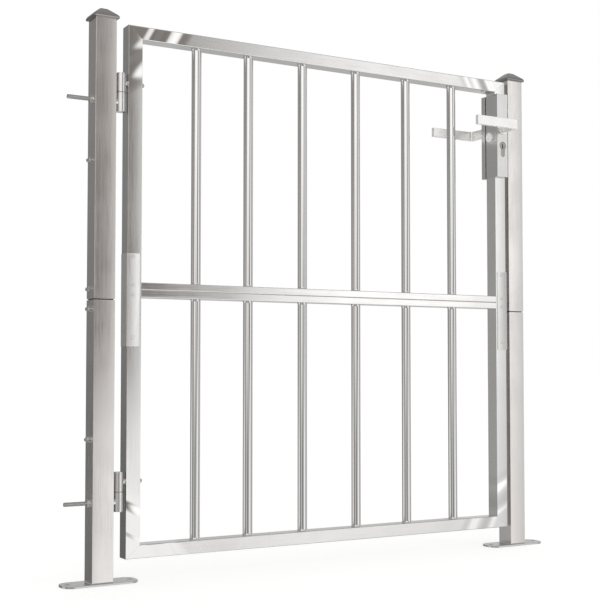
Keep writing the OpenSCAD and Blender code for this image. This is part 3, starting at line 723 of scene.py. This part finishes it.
def bar_tree() -> Tree:
    """Tree that stands round bars on points, with a small weld fillet at each end."""
    made = Tree("upright_bars", [("Radius", "NodeSocketFloat"), ("Length", "NodeSocketFloat"),
                                 ("Weld", "NodeSocketFloat"), ("Sides", "NodeSocketInt"),
                                 ("Material", "NodeSocketMaterial")])
    given = made.given.outputs
    top = made.put("ShaderNodeCombineXYZ", {"Z": given["Length"]})
    line = made.put("GeometryNodeCurvePrimitiveLine", {"End": top.outputs[0]}, mode="POINTS")
    cut = made.put("GeometryNodeResampleCurve", {"Curve": line.outputs[0], "Count": 241}, mode="COUNT")
    along = made.put("GeometryNodeSplineParameter")
    back = made.maths("SUBTRACT", given["Length"], along.outputs["Length"])
    near = made.maths("MINIMUM", along.outputs["Length"], back)
    share = made.put("ShaderNodeMath", {0: near, 1: given["Weld"]}, operation="DIVIDE", use_clamp=True)
    inward = made.maths("SUBTRACT", 1.0, share.outputs[0])
    curved = made.maths("POWER", inward, 2.0)
    flare = made.maths("MULTIPLY", curved, given["Weld"])
    radius = made.maths("ADD", given["Radius"], flare)
    ring = made.put("GeometryNodeCurvePrimitiveCircle", {"Resolution": given["Sides"], "Radius": 1.0})
    sized = made.put("GeometryNodeSetCurveRadius", {"Curve": cut.outputs[0], "Radius": radius})
    tube = made.put("GeometryNodeCurveToMesh", {"Curve": sized.outputs[0], "Profile Curve": ring.outputs[0],
                                                "Fill Caps": True})
    if "Scale" in tube.inputs:
        made.tree.links.new(radius, tube.inputs["Scale"])
    smooth = made.put("GeometryNodeSetShadeSmooth", {0: tube.outputs[0]})
    placed = made.put("GeometryNodeInstanceOnPoints", {"Points": given[0], "Instance": smooth.outputs[0]})
    made.close(placed.outputs[0])
    return made


def lathe(name: str, outline: list[tuple[float, float]], sides: int = 32, flats: int = 0,
          socket: tuple[float, float] | None = None) -> bpy.types.Mesh:
    """Turns an outline about the X axis into a closed part.

    Args:
        name: Name of the mesh.
        outline: Pairs of place along X and radius, in metres, from one end to the other, both at radius 0.
        sides: Facets round the axis.
        flats: Number of spanner flats that the largest radius is cut to, or 0.
        socket: Across-corner radius and depth of a hex socket in the first end, or None.

    Returns:
        The mesh.
    """
    work = bmesh.new()
    widest = max(r for _, r in outline)
    rings = []
    for place, radius in outline:
        if radius <= 0:
            rings.append([work.verts.new((place, 0, 0))])
            continue
        ring = []
        for k in range(sides):
            angle = 2 * math.pi * k / sides
            reach = radius
            if flats:
                step = 2 * math.pi / flats
                off = (angle % step) - step / 2
                reach = min(radius, widest * math.cos(math.pi / flats) / math.cos(off))
            ring.append(work.verts.new((place, reach * math.cos(angle), reach * math.sin(angle))))
        rings.append(ring)
    for a, b in zip(rings, rings[1:]):
        for k in range(sides):
            n = (k + 1) % sides
            corners = [a[k % len(a)], a[n % len(a)], b[n % len(b)], b[k % len(b)]]
            face = list(dict.fromkeys(corners))
            if len(face) > 2:
                work.faces.new(face)
    bmesh.ops.recalc_face_normals(work, faces=work.faces)
    mesh = drawn(work, name)
    if socket:
        mesh = sunk(mesh, outline[0][0], *socket)
    return smoothed(mesh, SMOOTH_UP_TO)


def sunk(mesh: bpy.types.Mesh, place: float, radius: float, depth: float) -> bpy.types.Mesh:
    """Cuts a hex socket into the end of a turned part.

    Args:
        mesh: The part, along X.
        place: Where its open end is along X.
        radius: Radius to the socket's corners.
        depth: Depth of the socket.

    Returns:
        The part with its socket.
    """
    work = bmesh.new()
    bmesh.ops.create_cone(work, cap_ends=True, segments=6, radius1=radius, radius2=radius, depth=2 * depth,
                          matrix=Matrix.Translation((place, 0, 0)) @ Matrix.Rotation(math.pi / 2, 4, "Y"))
    tool, part = stood("socket", drawn(work, "socket")), stood("part", mesh)
    cut = part.modifiers.new("cut", "BOOLEAN")
    cut.operation, cut.object, cut.solver = "DIFFERENCE", tool, "EXACT"
    made = baked(part, mesh.name)
    bpy.data.meshes.remove(tool.data)
    return made


def low_end(box: tuple[Vector, Vector], axis: int = 0) -> Vector:
    """Finds the middle of a box's low face.

    Args:
        box: Its lowest and highest corner.
        axis: The axis that the face lies across.

    Returns:
        The middle of the face.
    """
    spot = (box[0] + box[1]) / 2
    spot[axis] = box[0][axis]
    return spot


def dome(start: float, end: float, radius: float, steps: int = 8) -> list[tuple[float, float]]:
    """Gives a quarter ellipse from a point on the axis out to its full radius.

    Args:
        start: Place of the pole along X.
        end: Place of the widest ring along X.
        radius: Widest radius.
        steps: Rings between them.

    Returns:
        Pairs of place and radius.
    """
    angles = [math.pi / 2 * k / steps for k in range(steps + 1)]
    return [(end + (start - end) * math.cos(a), radius * math.sin(a)) for a in angles]


@dataclass
class Fasteners:
    """Every screw, bolt, nut and washer, set by the fastener tree.

    Attributes:
        bolt_r: Radius of an M6 shank.
        rod_r: Radius of an M8 rod.
        pitch_m6: Thread pitch of the bolts.
        pitch_m8: Thread pitch of the rods.
        thread_mm: Length of a bolt's thread.
        head_rise_mm: Height of a bolt's domed head.
        head_r_mm: Radius of a bolt's domed head.
        row: The tree that sets a row of copies.
        coil: The tree that winds threads and springs.
    """

    bolt_r: float = 3 * MM
    rod_r: float = 4 * MM
    pitch_m6: float = 1.0 * MM
    pitch_m8: float = 1.25 * MM
    thread_mm: float = 12.0
    head_rise_mm: float = 2.5
    head_r_mm: float = 5.5
    row: Tree = field(default_factory=scatter_tree)
    coil: Tree = field(default_factory=coil_tree)

    def rows(self, node: str) -> list[tuple[Vector, Vector]]:
        """Finds the separate solids of a node.

        Args:
            node: A CAD node.

        Returns:
            The box of each solid, in order of place.
        """
        work = bmesh.new()
        work.from_mesh(frame["nodes"][node].data)
        bmesh.ops.remove_doubles(work, verts=work.verts, dist=SAME_CORNER)
        left, boxes = set(work.verts), []
        while left:
            group, edge = [], [left.pop()]
            while edge:
                vert = edge.pop()
                group.append(vert.co.copy())
                for link in vert.link_edges:
                    other = link.other_vert(vert)
                    if other in left:
                        left.remove(other)
                        edge.append(other)
            boxes.append((Vector([min(c[i] for c in group) for i in range(3)]),
                          Vector([max(c[i] for c in group) for i in range(3)])))
        work.free()
        return sorted(boxes, key=lambda b: [round(c, 5) for c in (b[0] + b[1]) / 2])

    def set_row(self, name: str, part: bpy.types.Mesh, spots: list[tuple[Vector, Vector]], body: str,
                *nodes: str, clocking: float = 2 * math.pi, seed: int = 3, finish: Steel = FASTENER,
                slot: str = "stainless_fastener") -> bpy.types.Object:
        """Sets copies of a part and settles them as one piece.

        Args:
            name: Name of the piece.
            part: Mesh of one copy, along X from its origin.
            spots: Place and Euler turn of each copy.
            body: Body that they ride on.
            nodes: CAD nodes that they replace.
            clocking: Largest random turn about the copy's own axis.
            seed: Seed of that turn.
            finish: Their finish.
            slot: The record's material slot.

        Returns:
            The finished object.
        """
        master = stood("master", part)
        mesh = self.row.run(name, [s[0] for s in spots], [s[1] for s in spots], Part=master,
                            Clocking=clocking,
                            Seed=seed, Material=SHELF.get(finish))
        bpy.data.objects.remove(master)
        return settle(name, mesh, body, slot, finish, *nodes)

    def thread(self, name: str, spots: list[tuple[Vector, Vector]], radius: float, pitch: float,
               length: float,
               body: str, *nodes: str) -> bpy.types.Object:
        """Cuts a visible thread on each of a row of rods.

        Args:
            name: Name of the piece.
            spots: Start and Euler turn of each thread, which runs along its own X.
            radius: Outside radius of the thread.
            pitch: Pitch of the thread.
            length: Length of the thread.
            body: Body that they ride on.
            nodes: CAD nodes that they replace.

        Returns:
            The finished object.
        """
        ridge = 0.4 * pitch
        mesh = self.coil.run(name, [s[0] for s in spots], [s[1] for s in spots], Turns=length / pitch,
                             Length=length,
                             Radius=radius - ridge, Wire=ridge, Sides=6, Core=radius - 0.6 * pitch,
                             Material=SHELF.get(FASTENER))
        return settle(name, mesh, body, "stainless_fastener", FASTENER, *nodes)

    def nut(self, height: float, radius: float, bore: float) -> bpy.types.Mesh:
        """Hex nut from X 0 to its height, chamfered at both faces.

        Args:
            height: Height of the nut.
            radius: Radius to its corners.
            bore: Radius of its bore's countersink, drawn as a shallow dish.

        Returns:
            The mesh.
        """
        flat = radius * math.cos(math.pi / 6)
        rise = (radius - flat) * 0.6
        outline = [(0.25 * MM, 0), (0.25 * MM, bore), (0, bore + 0.3 * MM), (0, flat * 0.97), (rise, radius),
                   (height - rise, radius), (height, flat * 0.97), (height, bore + 0.3 * MM),
                   (height - 0.25 * MM, bore), (height - 0.25 * MM, 0)]
        return lathe("hex_nut", outline, sides=48, flats=6)

    def washer(self, thick: float, radius: float) -> bpy.types.Mesh:
        """Flat washer from X 0 to its thickness with punched, rounded rims."""
        soft = 0.25 * MM
        return lathe("washer", [(0, 0), (0, radius - soft), (soft, radius), (thick - soft, radius),
                                (thick, radius - soft), (thick, 0)], sides=40)

    def build(self) -> None:
        """Makes every fastener of the gate."""
        out, back = Vector((0, 0, 0)), Vector((0, 0, math.pi))
        boxes = self.rows("post_bolts")
        heads, tails = [], []
        for low, high in boxes:
            mid = (low + high) / 2
            left, right = [Vector((x, mid.y, mid.z)) for x in (low.x, high.x)]
            # A bolt's head looks toward the leaf, and its thread ends on the outer side of the post.
            heads.append((right, back) if low.x < 0 else (left, out))
            tails.append((left, out) if low.x < 0 else (right, back))
        thread, rise = self.thread_mm * MM, self.head_rise_mm * MM
        plain = boxes[0][1].x - boxes[0][0].x - thread
        head = [*dome(0, rise, self.head_r_mm * MM), (rise, self.bolt_r), (plain, self.bolt_r), (plain, 0)]
        self.set_row("post_bolt_heads", lathe("dome_bolt", head), heads, "frame", "post_bolts")
        self.thread("post_bolt_threads", tails, self.bolt_r, self.pitch_m6, thread, "frame")
        for place, bore in (("post_bolt", self.bolt_r), ("hinge_rod", self.rod_r)):
            boxes = self.rows(place + "_nuts")
            size = boxes[0][1] - boxes[0][0]
            nut = self.nut(size.x, max(size.y, size.z) / 2, bore)
            self.set_row(place + "_nuts_set", nut, [(low_end(b), out) for b in boxes], "frame",
                         place + "_nuts",
                         seed=14)
        for place in ("post_bolt", "hinge_rod"):
            boxes = self.rows(place + "_washers")
            size = boxes[0][1] - boxes[0][0]
            self.set_row(place + "_washers_set", self.washer(size.x, size.z / 2),
                         [(low_end(b), out) for b in boxes], "frame", place + "_washers", seed=17)
        self.dome_nuts()
        self.countersunk("joining_plate_screws", "leaf", Vector((0, 0, math.pi / 2)), 1, FOLDED_PLATE)
        self.countersunk("strike_screws", "frame", out, 0, FASTENER)

    def dome_nuts(self) -> None:
        """Makes the cap nuts on the inner side of the hinge stile."""
        boxes = self.rows("leaf_hinge_dome_nuts")
        tip = boxes[0][1].x - boxes[0][0].x
        height, corner, face = 3 * MM, 5 * MM, 4.3 * MM
        outline = [(0, 0), (0, face), (0.5 * MM, corner), (height - 0.4 * MM, corner),
                   (height, face + 0.05 * MM),
                   *dome(tip, height, face)[-2::-1]]
        self.set_row("leaf_hinge_dome_nut_set", lathe("dome_nut", outline, sides=48),
                     [(low_end(b), Vector((0, 0, 0))) for b in boxes], "leaf", "leaf_hinge_dome_nuts")

    def countersunk(self, node: str, body: str, turn: Vector, axis: int, finish: Steel) -> None:
        """Makes a row of low-head socket screws.

        Args:
            node: CAD node of the screws.
            body: Body that they ride on.
            turn: Euler turn from X to the screws' own direction, head first.
            axis: 0 where they point along X, 1 where they point along Y.
            finish: Their finish.
        """
        boxes = self.rows(node)
        low, high = boxes[0]
        length, radius = (high - low)[axis], (high.z - low.z) / 2
        rim, head, shank, tip = 0.35 * MM, 1.2 * MM, 2 * MM, 1.4 * MM
        outline = [(0, 0), (0, radius - rim), (rim, radius), (head, radius), (head, shank),
                   (length - 0.6 * MM, shank), (length, tip), (length, 0)]
        part = lathe("socket_screw", outline, socket=(1.4 * MM, 1.6 * MM))
        self.set_row(node + "_set", part, [(low_end(b, axis), turn) for b in boxes], body, node, seed=11,
                     finish=finish)


@dataclass
class Posts:
    """The two posts: halves, inner sleeves, floor plates and caps.

    Attributes:
        tube_corner_mm: Outer corner radius of the drawn square tube.
        cap_corner_mm: Rounding of the pressed cap.
        foot_weld_mm: Leg of the ground fillet weld round a post's foot.
        seam_mm: Half of the open joint between a post's halves.
        cap_sink_mm: How far pressing flattens the top of a cap.
    """

    tube_corner_mm: float = 2.4
    cap_corner_mm: float = 3.0
    foot_weld_mm: float = 2.0
    seam_mm: float = 1.0
    cap_sink_mm: float = 2.0

    def build(self) -> None:
        """Makes every piece of both posts."""
        for side in ("hinge", "latch"):
            for part, gap in (("lower", (2, 0.0, self.seam_mm)), ("upper", (2, self.seam_mm, 0.0))):
                Softened(f"{side}_post_{part}", "frame", "brushed_stainless", POST_TUBE, self.tube_corner_mm,
                         0.35,
                         axis=2, drawn_in=gap).build()
            # The sleeve's dark colour is painted shade for the open joint between the post's halves.
            Softened(f"{side}_post_sleeve", "frame", "brushed_stainless", PAINTED_SHADE_SLEEVE, 1.5, 0.3,
                     axis=2).build()
            Softened(f"{side}_base_plate", "frame", "brushed_stainless", FLOOR_PLATE, 0.6, 0.6).build()
            Softened(f"{side}_post_cap", "frame", "brushed_stainless", PRESSED_CAP, self.cap_corner_mm,
                     self.cap_corner_mm, drawn_in=(2, 0.0, self.cap_sink_mm)).build()
            self.foot_weld(side)

    def foot_weld(self, side: str) -> None:
        """Runs a small ground weld round a post's foot, where it meets its plate.

        Args:
            side: hinge or latch.
        """
        low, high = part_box(f"{side}_post_lower")
        leg, lap = self.foot_weld_mm * MM, 0.3 * MM
        corner, steps = self.tube_corner_mm * MM, 6
        work, loops = bmesh.new(), []
        # The section, outward and up: its hollow face runs from the post down to the plate.
        for out, up in ((-lap, leg), (0.28 * leg, 0.42 * leg), (0.42 * leg, 0.28 * leg), (leg, 0.0),
                        (-lap, 0.0)):
            ring, reach = [], corner + out
            for k, (x, y) in enumerate(((high.x - corner, high.y - corner), (low.x + corner, high.y - corner),
                                        (low.x + corner, low.y + corner), (high.x - corner, low.y + corner))):
                hub = Vector((x, y, low.z + up))
                for step in range(steps + 1):
                    angle = math.pi / 2 * (k + step / steps)
                    ring.append(work.verts.new(hub + Vector((reach * math.cos(angle), reach * math.sin(angle),
                                                             0))))
            loops.append(ring)
        for a, b in zip(loops, loops[1:] + loops[:1]):
            for k in range(len(a)):
                n = (k + 1) % len(a)
                work.faces.new((a[k], a[n], b[n], b[k]))
        bmesh.ops.recalc_face_normals(work, faces=work.faces)
        mesh = smoothed(drawn(work, f"{side}_foot_weld"), 50)
        settle(f"{side}_foot_weld", mesh, "frame", "brushed_stainless", FLOOR_PLATE)


@dataclass
class LeafFrame:
    """The leaf: mitred outer tubes, middle rails, bars and joining plates.

    Attributes:
        tube_corner_mm: Outer corner radius of the leaf's tubes.
        mid_corner_mm: Outer corner radius of the narrow middle rails.
        weld_mm: Leg of the weld fillet where a bar meets a rail.
        bar_sides: Facets round a bar.
    """

    tube_corner_mm: float = 1.8
    mid_corner_mm: float = 1.5
    weld_mm: float = 1.2
    bar_sides: int = 48

    def build(self) -> None:
        """Makes every piece of the leaf's frame."""
        steel = "polished_stainless"
        for node in ("bottom_rail", "top_rail"):
            Softened(node, "leaf", steel, RAIL_TUBE, self.tube_corner_mm, 0.25, axis=0).build()
        for node in ("lower_mid_rail", "upper_mid_rail"):
            Softened(node, "leaf", steel, MID_RAIL, self.mid_corner_mm, 0.25, axis=0).build()
        for side in ("hinge", "latch"):
            for part in ("lower", "upper"):
                Softened(f"{side}_stile_{part}", "leaf", steel, STILE_TUBE, self.tube_corner_mm, 0.25,
                         axis=2).build()
            Softened(f"{side}_joining_plate", "leaf", steel, FOLDED_PLATE, 1.2, 0.35, axis=2).build()
        Softened("stile_splices", "leaf", "brushed_stainless", FLOOR_PLATE, 1.0, 0.3).build()
        self.bars()

    def bars(self) -> None:
        """Stands the round bars in both halves of the leaf."""
        tree = bar_tree()
        for node in ("lower_bars", "upper_bars"):
            boxes = FASTENERS.rows(node)
            low, high = boxes[0]
            centres = sorted({(round((a.x + b.x) / 2, 4), round((a.y + b.y) / 2, 4)) for a, b in boxes})
            points = [Vector((x, y, low.z)) for x, y in centres]
            mesh = tree.run(node + "_tubes", points, [Vector((0, 0, 0))] * len(points),
                            Radius=(high.x - low.x) / 2,
                            Length=high.z - low.z, Weld=self.weld_mm * MM, Sides=self.bar_sides,
                            Material=SHELF.get(BAR_TUBE))
            mesh.set_sharp_from_angle(angle=math.radians(60))
            settle(node + "_tubes", mesh, "leaf", "polished_stainless", BAR_TUBE, node)


@dataclass
class Hinges:
    """Both hinges: eyes, pins, thrust washers and the threaded rods.

    Attributes:
        rim_mm: Chamfer of a barrel's rims.
        nut_back_mm: Distance from the post's face to the outer face of the rod's nut.
    """

    rim_mm: float = 0.8
    nut_back_mm: float = 7.0

    def build(self) -> None:
        """Makes every piece of both hinges."""
        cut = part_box("hinge_post_lower")[0].x - self.nut_back_mm * MM
        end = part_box("post_hinge_eyes")[0].x
        Softened("post_hinge_eyes", "frame", "cast_stainless", TURNED_BARREL, self.rim_mm, self.rim_mm,
                 cut_x=cut).build()
        Softened("leaf_hinge_eyes", "leaf", "cast_stainless", TURNED_BARREL, self.rim_mm, self.rim_mm).build()
        Softened("hinge_pins", "frame", "stainless_fastener", FASTENER, 0.5, 0.5).build()
        Softened("hinge_washers", "frame", "brass", GREASED_BRASS, 0.12, 0.12).build()
        spots = []
        for a, b in FASTENERS.rows("hinge_rod_nuts"):
            spots.append((Vector((end, (a.y + b.y) / 2, (a.z + b.z) / 2)), Vector((0, 0, 0))))
        FASTENERS.thread("hinge_rod_threads", spots, FASTENERS.rod_r, FASTENERS.pitch_m8, cut - end, "frame")


@dataclass
class Lock:
    """The lever lock: covers, cylinder, bolts, spring and levers.

    Attributes:
        cover_mm: Fold radius of the sheet covers.
        lever_mm: Rounding of the flat lever bars.
        joint_mm: Open joint between the case and the box behind it.
        cylinder_mm: How far the cylinder's face is set back.
        plug_mm: How far the key plug's face is set back.
        latch_travel_mm: How far the latch bolt presses its spring. Not used.
    """

    cover_mm: float = 0.8
    lever_mm: float = 1.3
    joint_mm: float = 2.2
    cylinder_mm: float = 1.8
    plug_mm: float = 1.5
    latch_travel_mm: float = 5.8

    def build(self) -> None:
        """Makes every piece of the lock and its strike."""
        for node, gap in (("lock_case", 0.0), ("lock_back_box", self.joint_mm), ("lock_forend", 0.0)):
            Softened(node, "leaf", "lock_steel", LOCK_SHEET, self.cover_mm, 0.4, axis=2,
                     drawn_in=(1, gap, 0.0)).build()
        Softened("lock_side_screw", "leaf", "stainless_fastener", ZINC_BOSS, 0.6, 0.5).build()
        Softened("lever_roses", "leaf", "cast_stainless", CAST_LEVER, 0.8, 0.6).build()
        Softened("cylinder_bodies", "leaf", "brass", PLATED_BRASS, 0.3, 0.3,
                 drawn_in=(1, self.cylinder_mm, 0.0)).build()
        Softened("key_plug", "key", "brass", PLATED_BRASS, 0.3, 0.2, drawn_in=(1, self.plug_mm, 0.0)).build()
        for node, body in (("deadbolt", "deadbolt"), ("latch_bolt", "latch")):
            Softened(node, body, "lock_steel", MILLED_STEEL, 0.5, 0.4).build()
        for node in ("front_lever", "back_lever"):
            Softened(node, "lever", "cast_stainless", CAST_LEVER, self.lever_mm, 1.0, steps=4).build()
        for node in ("lever_spindle", "lever_hub"):
            Softened(node, "lever", "lock_steel", MILLED_STEEL, 0.4, 0.3).build()
        Softened("strike_plate", "frame", "lock_steel", LOCK_SHEET, 0.4, 0.3).build()
        self.spring()

    def spring(self) -> None:
        """Winds the latch bolt's return spring."""
        low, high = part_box("latch_spring")
        wire = 0.4 * MM
        radius = (high.z - low.z) / 2
        start = Vector((low.x + wire, (low.y + high.y) / 2, (low.z + high.z) / 2))
        length = high.x - low.x - 2 * wire
        mesh = FASTENERS.coil.run("latch_spring_coil", [start], [Vector((0, 0, 0))], Turns=9.0, Length=length,
                                  Radius=radius - wire, Wire=wire, Sides=10, Core=0.0,
                                  Material=SHELF.get(SPRING_WIRE))
        coil = settle("latch_spring_coil", mesh, "leaf", "spring_steel", SPRING_WIRE, "latch_spring")
        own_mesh(coil)


@dataclass
class Studio:
    """Floor, soft surrounding light and the camera.

    Attributes:
        eye: Where the camera stands.
        yaw: Its turn from straight ahead toward the latch post.
        pitch: Its tilt up.
        lens: Focal length on a 36 mm sensor.
        shift: Lens shift, across and up.
    """

    eye: tuple[float, float, float] = (-1.2310, -2.0491, 0.3909)
    yaw: float = 0.52407
    pitch: float = 0.04212
    lens: float = 70.743
    shift: tuple[float, float] = (-0.01038, 0.03)
    # Studio brightness by direction round the gate, in degrees from straight in front toward the latch
    # post: one row for what lies below the horizon, one for the horizon and one for higher up.
    BELOW = ((-180, 0.45), (-164, 0.13), (-152, 0.18), (-141, 0.36), (-128, 0.8), (-95, 0.95), (-82, 0.35),
             (-71, 0.2), (-60, 0.35), (-49, 0.75), (-37, 0.4), (-26, 0.18), (-15, 0.25), (-5, 0.7), (1, 0.4),
             (9, 0.3), (12.5, 1.08), (19, 1.12), (31, 1.12), (36, 0.95), (43, 0.8), (52, 0.62), (62, 0.45),
             (73, 0.4), (100, 0.6), (126, 0.65), (150, 0.55), (170, 0.5))
    LOW = ((-180, 0.45), (-164, 0.17), (-152, 0.24), (-141, 0.42), (-123, 0.3), (-108, 0.55), (-95, 0.85),
           (-82, 0.4), (-71, 0.22), (-58, 0.8), (-48, 1.2), (-36, 0.7), (-24, 0.5), (-14, 0.8), (-4, 0.7),
           (4, 0.3), (9, 0.18), (18, 0.15), (25.5, 0.2), (28.5, 1.3), (35, 1.45), (40, 1.05), (48, 0.7),
           (55, 0.4),
           (62, 0.4), (75, 0.55), (100, 0.6), (126, 0.68), (150, 0.64), (170, 0.5))
    HIGH = ((-180, 0.5), (-164, 0.21), (-152, 0.27), (-141, 0.4), (-123, 0.33), (-104, 0.22), (-88, 0.2),
            (-71, 0.26), (-58, 0.8), (-48, 1.15), (-20, 1.2), (-4, 1.25), (4, 0.6), (9, 0.28), (18, 0.22),
            (24.5, 0.3), (28, 1.0), (34, 1.4), (41, 1.15), (47, 0.7), (54, 0.28), (61, 0.3), (70, 0.6),
            (100, 0.65),
            (126, 0.7), (150, 0.68), (170, 0.55))
    CEILING = (0.24, 0.24, 0.24, 1.0)

    def ring(self, tree: bpy.types.NodeTree, stops: tuple,
             around: bpy.types.NodeSocket) -> bpy.types.NodeSocket:
        """Turns a row of brightness stops into a ramp round the horizon.

        Args:
            tree: The world's node tree.
            stops: Pairs of degrees and brightness.
            around: Direction, from 0 to 1.

        Returns:
            The brightness socket.
        """
        ramp = put(tree, "ShaderNodeValToRGB", {"Fac": around})
        points = ramp.color_ramp.elements
        while len(points) > 1:
            points.remove(points[-1])
        for k, (angle, value) in enumerate(stops):
            spot = points[0] if k == 0 else points.new((angle + 180) / 360)
            spot.position = (angle + 180) / 360
            dim = max(0.0, min(1.0, (0.6 - value) / 0.4)) if 0 < angle < 30 else 0.0
            spot.color = (value / 2, value / 2 * (1 - 0.1 * dim), value / 2 * (1 - 0.16 * dim), 1.0)
        return ramp.outputs["Color"]

    def light(self) -> None:
        """Makes the surrounding light, and white paper where the camera looks past the gate."""
        world = bpy.data.worlds.new("soft_studio")
        bpy.context.scene.world = world
        world.use_nodes = True
        tree = world.node_tree
        tree.nodes.clear()
        way = put(tree, "ShaderNodeSeparateXYZ",
                  {0: put(tree, "ShaderNodeTexCoord").outputs["Generated"]}).outputs
        angle = maths(tree, "ARCTAN2", way[0], maths(tree, "MULTIPLY", way[1], -1.0))
        around = ranged(tree, angle, -math.pi, math.pi)
        shade, low, high = [self.ring(tree, stops, around) for stops in (self.BELOW, self.LOW, self.HIGH)]
        # Each layer fades in between two heights, in degrees over the horizon, the ceiling last.
        for start, end, layer in ((-4, 1.5, low), (2.5, 12, high), (16, 50, self.CEILING)):
            share = ranged(tree, way[2], math.sin(math.radians(start)), math.sin(math.radians(end)))
            shade = mixed(tree, share, shade, layer)
        studio = put(tree, "ShaderNodeBackground", {"Color": shade, "Strength": 2.0})
        paper = put(tree, "ShaderNodeBackground", {"Color": (1.0, 1.0, 1.0, 1.0), "Strength": 1.0})
        seen = put(tree, "ShaderNodeLightPath").outputs["Is Camera Ray"]
        both = put(tree, "ShaderNodeMixShader", {0: seen, 1: studio.outputs[0], 2: paper.outputs[0]})
        put(tree, "ShaderNodeOutputWorld", {"Surface": both.outputs[0]})

    def floor(self) -> None:
        """Lays a plain pale floor."""
        half = 30.0
        mesh = bpy.data.meshes.new("floor")
        mesh.from_pydata([(-half, -half, 0), (half, -half, 0), (half, half, 0), (-half, half, 0)], [],
                         [(0, 1, 2, 3)])
        material = bpy.data.materials.new("pale_paper_floor")
        material.use_nodes = True
        tree = material.node_tree
        tree.nodes.clear()
        grain = put(tree, "ShaderNodeTexNoise", {"Vector": put(tree, "ShaderNodeTexCoord").outputs["Object"],
                                                 "Scale": 900.0, "Detail": 2.0})
        soft = put(tree, "ShaderNodeBump",
                   {"Height": grain.outputs["Fac"], "Strength": 0.1, "Distance": 0.0002})
        shader = put(tree, "ShaderNodeBsdfPrincipled",
                     {"Base Color": linear("#F4F4F3"), "Roughness": 0.9, "Specular IOR Level": 0.1,
                      "Normal": soft.outputs[0], "Emission Color": (1.0, 1.0, 1.0, 1.0),
                      "Emission Strength": 0.56})
        put(tree, "ShaderNodeOutputMaterial", {"Surface": shader.outputs[0]})
        mesh.materials.append(material)
        floor = stood("floor", mesh)
        # Reflections pass the floor by: the row BELOW stands for what the metal mirrors there.
        floor.visible_glossy = False

    def camera(self) -> None:
        """Stands the camera and makes it the scene's own."""
        data = bpy.data.cameras.new("camera")
        data.sensor_width, data.lens = 36.0, self.lens
        data.shift_x, data.shift_y = self.shift
        data.dof.use_dof = False
        data.clip_start, data.clip_end = 0.05, 100.0
        camera = stood("camera", data)
        camera.location = self.eye
        camera.rotation_euler = (math.pi / 2 + self.pitch, 0.0, -self.yaw)
        bpy.context.scene.camera = camera

    def build(self) -> None:
        """Makes the whole studio."""
        self.camera()
        self.floor()
        self.light()
        bpy.context.scene.view_settings.view_transform = "Standard"


FASTENERS = Fasteners()


def main() -> None:
    """Builds the gate's pieces in order, then the studio."""
    logging.basicConfig(level=logging.INFO, format="%(message)s")
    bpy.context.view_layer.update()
    Posts().build()
    Hinges().build()
    LeafFrame().build()
    Lock().build()
    FASTENERS.build()
    Studio().build()


if __name__ == "__main__":
    main()
